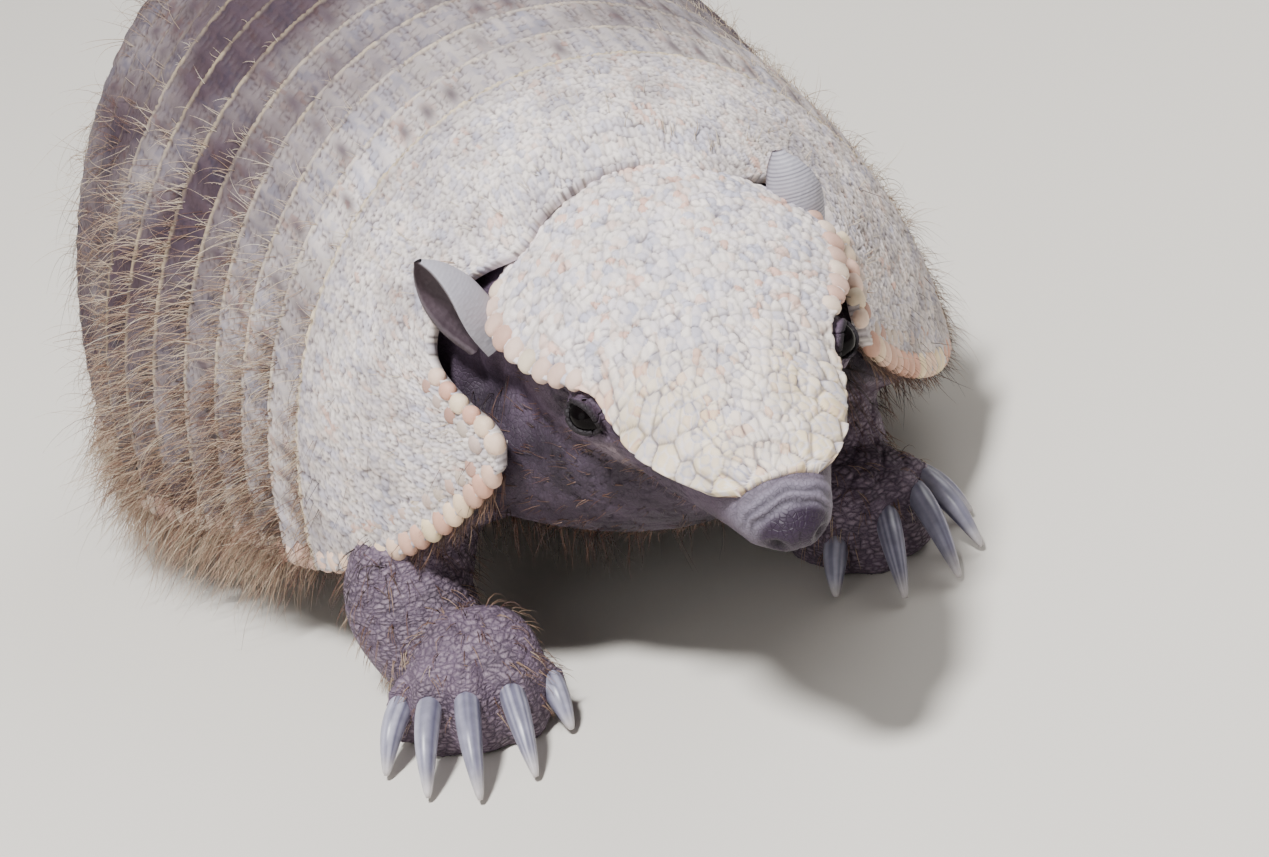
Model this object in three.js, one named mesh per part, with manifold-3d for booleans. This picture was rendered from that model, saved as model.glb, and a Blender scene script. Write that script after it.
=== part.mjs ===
// Large hairy armadillo, adult, standing with its head forward: a life-size still model.
// Millimetres, +Z up, the animal faces -Y and +X is its left. Every solid runs out to the tips of the coat.
import * as THREE from 'three';
import { LoftGeometry } from 'three/addons/geometries/LoftGeometry.js';
import { mergeVertices } from 'three/addons/utils/BufferGeometryUtils.js';
import Module from 'manifold-3d';

const wasm = await Module();
wasm.setup();

// Driving dimensions. The rear edge of the shoulder shield is station 0 along the back.
const FLOOR_CENTRE = { x: -8.3, y: 78.5 };
const GAP = 0.3;
const SIMPLIFY = 0.17;
const FLESH_CLEARANCE = 0.6;
const PLATE_THICKNESS = 3;
const PLATE_STEPS = 18;
const SHOULDER_STEPS = 28;
const PLATE_RIM = 0.8;
const NAPE_DIP = 3.4;
const SQUARENESS = 2.03;
const SPINE_RADIUS = 488;
const SHOULDER_SHIFT = { x: 2.6, until: 60 };

const BAND_COUNT = 7;
const BAND_PITCH = 14.2;
const BAND_LIFT = 1.1;
const RUMP = { from: 130, length: 52, half: 18, top: 50, low: 42 };
const RUMP_REAR_ANGLE = THREE.MathUtils.degToRad(74);

const HEAD = { at: [0.3, -131.7, 61], pitch: 11.2, yaw: -3.2, roll: 1.5 };
const HEAD_PLATE_THICKNESS = 2.6;
const EYE_RADIUS = 4;
const EYE_AT = [25.3, 50, 1.6];
// Where each ear stands and how long it shows; degrees it leans outwards and back, and turns about itself.
const EARS = [
  { side: -1, word: 'right', at: [-33, 88, -1], length: 23, out: 27, back: 14, spin: 17 },
  { side: 1, word: 'left', at: [31, 88, -1], length: 21, out: -6, back: 17, spin: -23 },
];

const CLAW_TIP_HEIGHT = 0.4;
const TAIL_LENGTH = 118;
const TAIL_SWAY = 12;

// A smooth curve through stations: the first number of each row is the place, the rest are its sizes.
function profile(names, rows) {
  const places = rows.map((row) => row[0]);
  const sizes = rows.flatMap((row) => row.slice(1));
  const curve = new THREE.CubicInterpolant(places, sizes, names.length);
  return (place) => {
    const values = [...curve.evaluate(place)];
    return Object.fromEntries(names.map((name, i) => [name, values[i]]));
  };
}

// Half width, height of the crest and height of the lower edge of the carapace along the back.
const carapace = profile(['half', 'top', 'low'], [
  [-63, 37, 98.5, 63],
  [-52, 43, 104, 52],
  [-38, 52, 107, 40],
  [-19, 64.5, 111.5, 29],
  [0, 74, 115, 24],
  [46, 82.5, 123, 21],
  [92, 92, 131, 20],
  [RUMP.from, 85, 136, 22],
]);

// Behind the last station the rump rounds off as a quarter of an ellipse.
function girth(s) {
  const size = carapace(Math.min(s, RUMP.from));
  if (s <= RUMP.from) return size;
  const along = (s - RUMP.from) / RUMP.length;
  const left = Math.sqrt(Math.max(0, 1 - along * along));
  return {
    half: THREE.MathUtils.lerp(RUMP.half, size.half, left),
    top: THREE.MathUtils.lerp(RUMP.top, size.top, left),
    low: THREE.MathUtils.lerp(RUMP.low, size.low, left),
  };
}

// The shoulders lean a little to the left, and behind them the back bends gently to the right.
function bent(x, s, z) {
  const shift = SHOULDER_SHIFT.x * (1 - THREE.MathUtils.smoothstep(s, 0, SHOULDER_SHIFT.until));
  if (s <= 0) return new THREE.Vector3(x + shift, s, z);
  const turn = s / SPINE_RADIUS;
  return new THREE.Vector3(
    x * Math.cos(turn) - SPINE_RADIUS * (1 - Math.cos(turn)) + shift,
    (x + SPINE_RADIUS) * Math.sin(turn),
    z,
  );
}

// A point of the carapace: s along the back, t from -1 at the right edge over the crest to 1 at the left.
function shellPoint(s, t, depth = 0) {
  const { half, top, low } = girth(s);
  const angle = Math.abs(t) * Math.PI / 2;
  const across = (half - depth) * Math.sin(angle) ** (2 / SQUARENESS);
  const up = (top - depth - low) * Math.max(0, Math.cos(angle)) ** (2 / SQUARENESS);
  return bent(Math.sign(t) * across, s, low + up);
}

function manifoldOf(geometry) {
  const bare = new THREE.BufferGeometry().copy(geometry);
  bare.deleteAttribute('normal');
  bare.deleteAttribute('uv');
  const merged = mergeVertices(bare, 1e-4);
  const corners = [...merged.index.array];
  const triangles = corners.filter((_, i) => {
    const [a, b, c] = corners.slice(i - i % 3, i - i % 3 + 3);
    return a !== b && b !== c && c !== a;
  });
  return new wasm.Manifold(new wasm.Mesh({
    numProp: 3,
    vertProperties: new Float32Array(merged.attributes.position.array),
    triVerts: new Uint32Array(triangles),
  }));
}

function lofted(sections, capped = true) {
  return manifoldOf(new LoftGeometry(sections, { capStart: capped, capEnd: capped }));
}

// A cut can leave a crumb beside the piece: only the largest body is kept.
function largest(solid) {
  return solid.decompose().reduce((best, body) => (body.volume() > best.volume() ? body : best));
}

// The same solid as seen from outside the group that holds it.
function placed(solid, group) {
  group.updateMatrix();
  return manifoldOf(geometryOf(solid).applyMatrix4(group.matrix));
}

function geometryOf(solid) {
  const mesh = solid.getMesh();
  const geometry = new THREE.BufferGeometry();
  geometry.setAttribute('position', new THREE.BufferAttribute(new Float32Array(mesh.vertProperties), 3));
  geometry.setIndex(new THREE.BufferAttribute(new Uint32Array(mesh.triVerts), 1));
  geometry.computeVertexNormals();
  return geometry;
}

// One ring of a limb: an oval square to the way the limb runs, its underside never below the floor.
function ring(centre, along, wide, tall, sides, upright = new THREE.Vector3(0, 0, 1)) {
  const across = new THREE.Vector3().crossVectors(upright, along).normalize();
  const up = new THREE.Vector3().crossVectors(along, across).normalize();
  return Array.from({ length: sides }, (_, i) => {
    const angle = i / sides * 2 * Math.PI;
    const point = centre.clone()
      .addScaledVector(across, wide * Math.cos(angle))
      .addScaledVector(up, tall * Math.sin(angle));
    point.z = Math.max(0, point.z);
    return point;
  });
}

// A limb through rows of [x, y, z, half width, half height].
function limb(rows, sides, upright, grow = 0) {
  const centres = rows.map(([x, y, z]) => new THREE.Vector3(x, y, z));
  return lofted(rows.map((row, i) => {
    const before = centres[Math.max(0, i - 1)];
    const after = centres[Math.min(rows.length - 1, i + 1)];
    const along = after.clone().sub(before).normalize();
    return ring(centres[i], along, row[3] + grow, row[4] + grow, sides, upright);
  }));
}

function finish(colour, roughness) {
  return new THREE.MeshStandardMaterial({ color: colour, roughness, metalness: 0 });
}

const hide = finish(0x6f5f63, 0.7);
const paleHorn = finish(0xcfc6c2, 0.6);
const greyHorn = finish(0xa49aa3, 0.6);
const darkHorn = finish(0x7d7178, 0.65);
const clawHorn = finish(0x7e7c8c, 0.4);
const wetEye = finish(0x120d0d, 0.08);

function named(name, solid, material) {
  const mesh = new THREE.Mesh(geometryOf(largest(solid.simplify(SIMPLIFY))), material);
  mesh.name = name;
  return mesh;
}

// A plate of the carapace: an arch from edge to edge, its rear edge lifted over the plate behind it.
// Its two lower edges close to a thin rim. The middle of the front edge can dip towards the nape.
function plate({ stations, lift = 0, grow = 0, steps = PLATE_STEPS, nape = 0 }) {
  const sections = evenly(-1, 1, steps).map((t) => {
    const places = stations(t);
    const last = places.length - 1;
    places[0] -= grow;
    places[last] += grow;
    const dip = nape * (1 - THREE.MathUtils.smoothstep(Math.abs(t), 0.3, 0.5));
    const outer = places.map((s, k) => shellPoint(s, t, (k === 0 ? dip : 0) - lift * k / last - grow));
    const inner = places.map((s) => shellPoint(s, t, PLATE_THICKNESS + grow));
    return [...outer.reverse(), ...inner];
  });
  const rim = (section) => section.map((point, i) => {
    const middle = point.clone().lerp(section[section.length - 1 - i], 0.5);
    return middle.setZ(middle.z - PLATE_RIM - grow);
  });
  return lofted([rim(sections[0]), ...sections, rim(sections.at(-1))], false);
}

function evenly(from, to, count) {
  return Array.from({ length: count + 1 }, (_, k) => THREE.MathUtils.lerp(from, to, k / count));
}

// The front edge of the shoulder shield follows the back of the head shield, is notched for
// the ear, and reaches forward at its sides into two lobes, one beside each cheek.
const shoulderFrontAt = profile(['place'], [
  [0, -38],
  [0.2, -40],
  [0.34, -43.5],
  [0.42, -39.5],
  [0.5, -36],
  [0.62, -36],
  [0.74, -46],
  [0.85, -55],
  [0.93, -58],
  [1, -57],
]);
const shoulderFront = (t) => shoulderFrontAt(Math.abs(t)).place;

const shoulderStations = (t) => evenly(shoulderFront(t), 0, 4);
const bandEnd = BAND_COUNT * BAND_PITCH;
const rumpStations = evenly(0, RUMP_REAR_ANGLE, 5).map((angle) => RUMP.from + RUMP.length * Math.sin(angle));
const hipStations = () => [bandEnd + GAP, (bandEnd + RUMP.from) / 2, ...rumpStations];

function shoulderShield(grow) {
  return plate({ stations: shoulderStations, lift: BAND_LIFT, grow, steps: SHOULDER_STEPS, nape: NAPE_DIP });
}

function hipShield(grow) {
  return plate({ stations: hipStations, grow });
}

// The flesh of the trunk: how far the flank's fringe of hair stands out from the carapace edge,
// how low the belly hangs, and how far the back is sunk below the plates.
const flesh = profile(['fringe', 'belly', 'sunk'], [
  [-36, -12, 36.5, 5],
  [-28, -11, 29, 1],
  [-16, -7, 22, 0],
  [0, -1, 16, 0],
  [24, 5, 12, 0],
  [66, 7, 11, 0],
  [112, 6, 11, 0.6],
  [140, 2, 15, 1.6],
  [180, -5, 28, 2.6],
]);
const TRUNK_STATIONS = [
  ...evenly(-36, 0, 4),
  ...evenly(BAND_PITCH, bandEnd, BAND_COUNT - 1),
  (bandEnd + RUMP.from) / 2,
  ...rumpStations.map((s, k) => s - k * 0.2),
];

const EDGE_DROP = 0.9;
const BELLY_SQUARENESS = 0.62;

function trunkSolid(grow) {
  const over = evenly(-1, 1, 12);
  const under = evenly(0, Math.PI, 7);
  const front = TRUNK_STATIONS[0];
  return lofted(TRUNK_STATIONS.map((station) => {
    const s = station === front ? station - grow : station;
    const { half, low } = girth(s);
    const { fringe, belly, sunk } = flesh(s);
    const back = over.map((t) => {
      const point = shellPoint(s, t, PLATE_THICKNESS + FLESH_CLEARANCE + sunk - grow);
      point.z -= EDGE_DROP * t * t;
      return point;
    });
    const edge = low - 2 * EDGE_DROP;
    const below = under.map((angle) => bent(
      (half + fringe + grow) * Math.sign(Math.cos(angle)) * Math.abs(Math.cos(angle)) ** BELLY_SQUARENESS,
      s,
      edge - (edge - belly + grow) * Math.sin(angle) ** BELLY_SQUARENESS,
    ));
    return [...back, ...below];
  }));
}

// Head, in its own frame: the nose at the origin, +Y back along the head.
const headGroup = new THREE.Group();
headGroup.position.set(...HEAD.at);
headGroup.rotation.set(
  THREE.MathUtils.degToRad(HEAD.pitch),
  THREE.MathUtils.degToRad(HEAD.roll),
  THREE.MathUtils.degToRad(HEAD.yaw),
  'ZXY',
);

// Rows of the head: place back from the nose, half width, top, bottom.
const SKULL_ROWS = [
  [0, 6, 2.5, -6.5],
  [2.5, 8.5, 4, -8.5],
  [8, 9.9, 4.6, -9.5],
  [16, 12.6, 5.6, -10.2],
  [30, 17.6, 9, -13],
  [42, 20.8, 12.4, -16.5],
  [52, 25, 14, -20],
  [64, 30, 15.5, -23.5],
  [78, 33, 16.6, -25],
  [90, 31, 16.6, -25],
];
// The widest line of the head lies this low, and its section is a little squarer than an oval.
const HEAD_MIDLINE = -2;
const HEAD_SQUARENESS = 0.85;

const SKULL_SIDES = 16;

function skullSolid(grow) {
  return lofted(SKULL_ROWS.map(([back, half, top, bottom], k) => {
    const place = back + (k === SKULL_ROWS.length - 1 ? grow : 0);
    return Array.from({ length: SKULL_SIDES }, (_, i) => {
      const angle = i / SKULL_SIDES * 2 * Math.PI;
      const across = Math.sign(Math.cos(angle)) * Math.abs(Math.cos(angle)) ** HEAD_SQUARENESS;
      const up = Math.sign(Math.sin(angle)) * Math.abs(Math.sin(angle)) ** HEAD_SQUARENESS;
      const reach = grow + (up > 0 ? top - HEAD_MIDLINE : HEAD_MIDLINE - bottom);
      return new THREE.Vector3(-(half + grow) * across, place, HEAD_MIDLINE + reach * up);
    });
  }));
}

// Rows of the head shield: place back from the nose, half width, height of the crown and fall
// from there to the edge.
const HEAD_PLATE_ROWS = [
  [8.5, 8, 4.8, 1.2],
  [11, 11.8, 5.8, 2.8],
  [20, 17, 8.4, 6.4],
  [32, 21.2, 11.8, 10],
  [42, 23, 14.2, 10.4],
  [47, 24, 15.4, 8.8],
  [52, 27.2, 16.4, 9.2],
  [62, 32, 18.4, 13.1],
  [74, 35.5, 20.2, 14.6],
  [82, 36.2, 21, 14.8],
  [90, 33, 21.6, 13.5],
  [97, 25.5, 21.9, 10.5],
  [102, 14, 21.8, 5.7],
  [104, 5, 21.7, 2],
];

const HEAD_PLATE_ROUNDNESS = 2.4;

function headPlate(grow) {
  const across = evenly(-1, 1, 8);
  return lofted(HEAD_PLATE_ROWS.map(([back, half, crown, fall], k) => {
    const end = k === 0 ? -1 : Number(k === HEAD_PLATE_ROWS.length - 1);
    const top = across.map((u) => new THREE.Vector3(
      u * (half + grow),
      back + grow * end,
      crown + grow - fall * Math.abs(u) ** HEAD_PLATE_ROUNDNESS,
    ));
    const under = top.map((point) => point.clone().setZ(point.z - HEAD_PLATE_THICKNESS - 4 * grow));
    return [...top, ...under.reverse()];
  }));
}

function eyeball(side, grow) {
  const ball = new THREE.SphereGeometry(EYE_RADIUS + grow, 12, 8);
  ball.translate(side * EYE_AT[0], EYE_AT[1], EYE_AT[2]);
  return manifoldOf(ball);
}

// An ear is a rolled leaf of thin skin, open outwards: rows of the part of its length, radius,
// half angle of the roll and thickness of the skin.
const EAR_ROWS = [
  [0, 5.2, 2.3, 1.6],
  [0.35, 6.9, 2, 1.3],
  [0.65, 7.3, 1.6, 1.1],
  [0.88, 5, 1.3, 1],
  [1, 1.8, 1.1, 0.8],
];

function earSolid({ side, at, length, out, back, spin }) {
  const frame = new THREE.Object3D();
  frame.position.set(...at);
  frame.rotation.set(-THREE.MathUtils.degToRad(back), side * THREE.MathUtils.degToRad(out), 0);
  const closed = THREE.MathUtils.degToRad(spin);
  const leaf = lofted(EAR_ROWS.map(([part, radius, roll, skin]) => {
    const turns = evenly(closed - roll, closed + roll, 5);
    const arc = (reach) => turns.map((turn) => new THREE.Vector3(
      -side * (reach * Math.cos(turn) - radius * 0.4 * part),
      reach * Math.sin(turn),
      part * length,
    ));
    const outer = arc(radius);
    const inner = arc(radius - skin).reverse();
    return side > 0 ? [...outer, ...inner].reverse() : [...outer, ...inner];
  }));
  return placed(placed(leaf, frame), headGroup);
}

const model = new THREE.Group();
model.position.set(-FLOOR_CENTRE.x, -FLOOR_CENTRE.y, 0);
model.add(headGroup);

let skull = skullSolid(0).subtract(headPlate(GAP));
headGroup.add(named('head_shield', headPlate(0), paleHorn));
for (const [side, word] of [[-1, 'right'], [1, 'left']]) {
  headGroup.add(named(`eye_${word}`, eyeball(side, 0).subtract(headPlate(GAP)), wetEye));
  skull = skull.subtract(eyeball(side, GAP));
}
headGroup.add(named('head', skull, hide));

// Plates of the carapace, front to back.
const headRoom = placed(headPlate(GAP), headGroup).add(placed(skullSolid(GAP), headGroup));
model.add(named('shoulder_shield', shoulderShield(0).subtract(headRoom), paleHorn));
for (let i = 0; i < BAND_COUNT; i++) {
  const from = i * BAND_PITCH + GAP;
  const to = (i + 1) * BAND_PITCH;
  const band = plate({ stations: () => [from, to], lift: BAND_LIFT });
  model.add(named(`band_${i + 1}`, band, i < 3 ? greyHorn : darkHorn));
}
model.add(named('hip_shield', hipShield(0), darkHorn));

// The neck joins the head to the trunk, under the front of the shoulder shield.
const NECK_ROWS = [
  [2, -58, 74, 24, 17],
  [2, -48, 74, 29, 21],
  [1, -40, 75, 34, 22],
  [0, -31, 76, 37, 23],
];
function neckSolid(grow) {
  return limb(NECK_ROWS, 16, undefined, grow);
}

const behindHead = trunkSolid(GAP).add(shoulderShield(GAP));
model.add(named('neck', neckSolid(0).subtract(headRoom).subtract(behindHead), hide));
for (const ear of EARS) {
  const solid = earSolid(ear).subtract(headRoom).subtract(behindHead).subtract(neckSolid(GAP));
  model.add(named(`ear_${ear.word}`, solid, hide));
}

// The tail runs straight back from the rump and sinks towards the floor.
const TAIL_ROWS = [
  [0, 53, 13.5],
  [0.1, 49.5, 12.2],
  [0.3, 40, 10],
  [0.5, 30, 8],
  [0.7, 20.5, 6.2],
  [0.88, 13, 4.4],
  [0.97, 10, 2.9],
  [1, 9.2, 1.4],
];
const tailStart = TRUNK_STATIONS.at(-1) + GAP;
const tailBase = bent(0, tailStart, 0);
const tail = limb(TAIL_ROWS.map(([along, z, radius]) => [
  tailBase.x - TAIL_SWAY * Math.sin(along * Math.PI / 2),
  tailBase.y + along * TAIL_LENGTH,
  z,
  radius,
  radius,
]), 12);
model.add(named('tail', tail.subtract(trunkSolid(GAP)).subtract(hipShield(GAP)), darkHorn));

// Feet, each in its own frame: the middle of the sole at the origin, toes towards -Y, +X outwards.
// Palm rows: place, half width, height. Digit rows: across, ahead, height of the claw base,
// claw length, splay in degrees.
const FORE_FOOT = {
  palm: [[14, 9.5, 20], [9, 12.5, 23], [0, 15, 23], [-8, 14.5, 20], [-12, 11, 16]],
  digits: [
    [-15, 3, 10, 11.5, -16],
    [-8.5, 13, 13.5, 19, -8],
    [0.5, 16, 15, 21.5, 0],
    [9, 13, 14, 19.5, 9],
    [16.5, 5, 11.5, 15, 22],
  ],
  toeHalf: 4.6,
  clawHalf: 2.7,
};
const HIND_FOOT = {
  palm: [[26, 8, 15], [22, 11, 19], [8, 13, 21], [-6, 13.5, 20], [-14, 11, 15]],
  digits: [
    [-13, 9, 8, 12, -10],
    [-6.5, 17, 10, 15, -4],
    [0.5, 19, 10.5, 16, 0],
    [7.5, 16, 10, 14, 6],
    [13.5, 7, 8, 11, 14],
  ],
  toeHalf: 4,
  clawHalf: 2.3,
};
const FOOT_SQUARENESS = 0.75;
// Down a toe: the part of its length, how far its top stands over the claw base, how far its end
// pinches in.
const TOE_RISE = [[0.1, 6, 0], [0.85, 4, 0], [1, 2, 2.4]];
// How far an oval of a foot reaches below the floor before its sole is cut flat.
const SOLE_CUT = 4;
// Each claw tapers from its root, more and more quickly, and arches by a part of its length.
const CLAW_TAPER = { by: 0.72, power: 2.2 };
const CLAW_ARCH = 0.1;
const PALM_SIDES = 10;
const TOE_SIDES = 6;
const CLAW_SIDES = 5;

function soleRing(x, y, half, low, high, sides) {
  return Array.from({ length: sides }, (_, i) => {
    const angle = i / sides * 2 * Math.PI;
    const across = half * Math.sign(Math.cos(angle)) * Math.abs(Math.cos(angle)) ** FOOT_SQUARENESS;
    const up = Math.sign(Math.sin(angle)) * Math.abs(Math.sin(angle)) ** FOOT_SQUARENESS;
    const under = low - SOLE_CUT;
    return new THREE.Vector3(x + across, y, Math.max(low, (under + high) / 2 + (high - under) / 2 * up));
  });
}

function footSolid(foot, side, grow) {
  let solid = lofted(foot.palm.map(([y, half, high]) => (
    soleRing(0, y + grow * Math.sign(y), half + grow, 0, high + grow, PALM_SIDES)
  )));
  for (const [across, ahead, high] of foot.digits) {
    const toe = TOE_RISE.map(([part, rise, pinch], k) => soleRing(
      side * across * THREE.MathUtils.lerp(0.6, 1, part),
      -ahead * part - grow * Number(k === TOE_RISE.length - 1),
      foot.toeHalf + grow - 0.4 * pinch,
      pinch,
      high + grow + rise,
      TOE_SIDES,
    ));
    solid = solid.add(lofted(toe));
  }
  return solid;
}

function clawSolid({ foot, side, clawTurn, fan }, [across, ahead, high, length, splay]) {
  const turn = THREE.MathUtils.degToRad(fan * splay + clawTurn);
  const drop = high - 3 - CLAW_TIP_HEIGHT;
  const reach = Math.sqrt(length * length - drop * drop);
  const start = new THREE.Vector3(side * across, -ahead - GAP, high - 2);
  const forward = new THREE.Vector3(side * Math.sin(turn), -Math.cos(turn), 0);
  const rows = [0, 0.25, 0.55, 0.82, 1].map((part) => {
    const size = foot.clawHalf * (1 - CLAW_TAPER.by * part ** CLAW_TAPER.power);
    const centre = start.clone().addScaledVector(forward, reach * part);
    centre.z += CLAW_ARCH * length * Math.sin(Math.PI * part) - drop * part;
    return [centre, size];
  });
  return lofted(rows.map(([centre, size], i) => {
    const before = rows[Math.max(0, i - 1)][0];
    const after = rows[Math.min(rows.length - 1, i + 1)][0];
    const along = i === 0 ? forward : after.clone().sub(before).normalize();
    return ring(centre, along, size, size * 1.15, CLAW_SIDES);
  }));
}

// Each leg: the foot's place and outward turn, how its claws turn and spread, and the limb's rows
// down from inside the trunk.
const LEGS = [
  {
    name: 'fore', word: 'right', side: -1, foot: FORE_FOOT, at: [-52, -49], turn: 20,
    clawTurn: -4, fan: 1,
    rows: [[-40, -6, 54, 11, 12], [-44, -8, 41, 11, 12], [-50, -13, 30, 13, 13], [-57, -19, 21, 15, 13],
      [-57, -28, 14, 14, 12], [-54, -38, 8, 12, 8]],
  },
  {
    name: 'fore', word: 'left', side: 1, foot: FORE_FOOT, at: [40, -31], turn: 38,
    clawTurn: -40, fan: 1.7,
    rows: [[34, -4, 54, 14, 14], [38, -9, 40, 14, 14], [40, -14, 27, 14.5, 14], [40, -19, 15, 14, 13]],
  },
  {
    name: 'hind', word: 'right', side: -1, foot: HIND_FOOT, at: [-68, 112], turn: 4,
    clawTurn: 0, fan: 1,
    rows: [[-62, 118, 56, 20, 22], [-68, 120, 36, 18, 21], [-70, 124, 22, 13, 17], [-70, 126, 10, 10, 11]],
  },
  {
    name: 'hind', word: 'left', side: 1, foot: HIND_FOOT, at: [42, 134], turn: 16,
    clawTurn: 0, fan: 1,
    rows: [[32, 140, 56, 20, 22], [37, 142, 36, 18, 21], [40, 146, 22, 13, 17], [40, 148, 10, 10, 11]],
  },
];
const LEG_UPRIGHT = new THREE.Vector3(0, 1, 0);

let trunk = trunkSolid(0).subtract(headRoom);
for (const leg of LEGS) {
  const footGroup = new THREE.Group();
  footGroup.position.set(leg.at[0], leg.at[1], 0);
  footGroup.rotation.z = THREE.MathUtils.degToRad(leg.side * leg.turn);
  model.add(footGroup);
  const footRoom = footSolid(leg.foot, leg.side, GAP);
  footGroup.add(named(`${leg.name}foot_${leg.word}`, footSolid(leg.foot, leg.side, 0), hide));
  leg.foot.digits.forEach((digit, i) => {
    const claw = clawSolid(leg, digit).subtract(footRoom);
    footGroup.add(named(`${leg.name}claw_${leg.word}_${i + 1}`, claw, clawHorn));
  });
  const footPlace = placed(footRoom, footGroup);
  const limbSolid = limb(leg.rows, 14, LEG_UPRIGHT)
    .subtract(trunkSolid(GAP))
    .subtract(shoulderShield(GAP))
    .subtract(hipShield(GAP))
    .subtract(footPlace);
  model.add(named(`${leg.name}leg_${leg.word}`, limbSolid, hide));
  trunk = trunk.subtract(footPlace);
}
model.add(named('trunk', trunk, hide));

export default model;
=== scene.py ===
import math
from collections import namedtuple

import bmesh
import bpy
import numpy as np
from mathutils import Matrix


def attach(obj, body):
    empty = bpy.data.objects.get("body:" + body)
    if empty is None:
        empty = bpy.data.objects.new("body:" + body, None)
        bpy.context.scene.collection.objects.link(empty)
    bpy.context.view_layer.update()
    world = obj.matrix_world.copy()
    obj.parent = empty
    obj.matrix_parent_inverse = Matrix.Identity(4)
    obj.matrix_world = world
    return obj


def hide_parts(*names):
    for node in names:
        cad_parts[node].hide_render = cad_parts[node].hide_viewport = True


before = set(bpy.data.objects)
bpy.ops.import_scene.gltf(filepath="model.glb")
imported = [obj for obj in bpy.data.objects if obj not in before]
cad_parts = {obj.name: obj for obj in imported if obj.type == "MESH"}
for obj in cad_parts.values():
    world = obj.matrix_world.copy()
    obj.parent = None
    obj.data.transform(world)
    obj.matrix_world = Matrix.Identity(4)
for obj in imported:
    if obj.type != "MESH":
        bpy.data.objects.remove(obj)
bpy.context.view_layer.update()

# ---------------------------------------------------------------------------------------------
# View, floor and light. The model stands on a plain pale floor under soft studio light.
# The camera looks down on the head from in front and a little to the animal's right, from two
# thirds of a metre away.
# ---------------------------------------------------------------------------------------------
FLOOR_CENTRE = np.array([-8.3, 78.5, 0.0])
AIM = np.array([-19.4, -106.3, 77.7])
AZIMUTH, ELEVATION, ROLL = (math.radians(a) for a in (-12.0, 23.4, -14.25))
DISTANCE = 668.2
FOCAL_LENGTH = 101.7


def metres(points):
    """Animal millimetres, with the shoulder shield's rear edge at y 0, to the frame's metres."""
    return (np.asarray(points, float) - FLOOR_CENTRE) / 1000


def srgb(hex_colour):
    """An sRGB hex colour as linear RGBA."""
    parts = [int(hex_colour[i:i + 2], 16) / 255 for i in (1, 3, 5)]
    return tuple(c / 12.92 if c < 0.04045 else ((c + 0.055) / 1.055) ** 2.4 for c in parts) + (1.0,)


def new_material(name):
    """A node material and its Principled shader."""
    material = bpy.data.materials.new(name)
    material.use_nodes = True
    return material, material.node_tree.nodes["Principled BSDF"]


# The camera's own axes, rolled about its line of sight.
back = np.array([math.sin(AZIMUTH) * math.cos(ELEVATION), -math.cos(AZIMUTH) * math.cos(ELEVATION),
                 math.sin(ELEVATION)])
level = np.array([math.cos(AZIMUTH), math.sin(AZIMUTH), 0.0])
upright = np.cross(back, level)
right = level * math.cos(ROLL) + upright * math.sin(ROLL)
up = upright * math.cos(ROLL) - level * math.sin(ROLL)
camera = bpy.data.objects.new("camera", bpy.data.cameras.new("camera"))
camera.data.lens = FOCAL_LENGTH
camera.data.sensor_width = 36
camera.data.clip_start = 0.01
camera.data.clip_end = 50
eye_point = metres(AIM + back * DISTANCE)
axes = np.column_stack([right, up, back, eye_point])
camera.matrix_world = Matrix([*axes.tolist(), [0, 0, 0, 1]])
bpy.context.scene.collection.objects.link(camera)
bpy.context.scene.camera = camera

# Painted board, matt: a warm pale grey with hardly any shine.
board, shader = new_material("painted_board")
shader.inputs["Base Color"].default_value = srgb("#d9d4cc")
shader.inputs["Roughness"].default_value = 0.85
floor_mesh = bpy.data.meshes.new("floor")
floor_mesh.from_pydata([(-4, -4, 0), (4, -4, 0), (4, 4, 0), (-4, 4, 0)], [], [(0, 1, 2, 3)])
floor_mesh.materials.append(board)
floor = bpy.data.objects.new("floor", floor_mesh)
bpy.context.scene.collection.objects.link(floor)

# Each lamp's place and size in metres, and its power in watts.
LAMPS = [
    ("key", (-0.5, -0.75, 1.75), 0.3, 72),
    ("fill", (-1.3, -1.3, 0.7), 1.4, 7),
    ("rim", (1.1, 0.7, 1.4), 1.2, 12),
]
for name, place, size, power in LAMPS:
    lamp = bpy.data.objects.new(name, bpy.data.lights.new(name, "AREA"))
    lamp.data.shape = "DISK"
    lamp.data.size = size
    lamp.data.energy = power
    lamp.location = place
    aim = np.array([0.0, -0.05, 0.05]) - np.array(place)
    tilt = math.atan2(math.hypot(aim[0], aim[1]), -aim[2])
    lamp.rotation_euler = (tilt, 0, math.atan2(-aim[0], aim[1]))
    bpy.context.scene.collection.objects.link(lamp)
world = bpy.data.worlds.new("studio")
world.use_nodes = True
world.node_tree.nodes["Background"].inputs["Color"].default_value = srgb("#f4f2ef")
world.node_tree.nodes["Background"].inputs["Strength"].default_value = 0.34
bpy.context.scene.world = world

# ---------------------------------------------------------------------------------------------
# Carapace plates: a shoulder shield, seven bands that overlap like roof tiles, and a hip shield.
# Real ones are bone scutes under a thin layer of horn, bound edge to edge in rows; small beads
# of horn cover each scute, and its rear edge is worn pale.
# ---------------------------------------------------------------------------------------------
SQUARENESS = 2.03
SPINE_RADIUS = 488
PLATE_THICKNESS = 3
PLATE_FOLD = 2.4
BAND_COUNT = 7
BAND_PITCH = 14.2
BAND_LIFT = 1.1
HIP_ROW = 9.6
SHOULDER_LEAN = 2.6
RUMP_FROM, RUMP_LENGTH, RUMP_END = 130, 52, (18, 50, 42)
RUMP_REAR = RUMP_FROM + RUMP_LENGTH * math.sin(math.radians(74))


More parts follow.
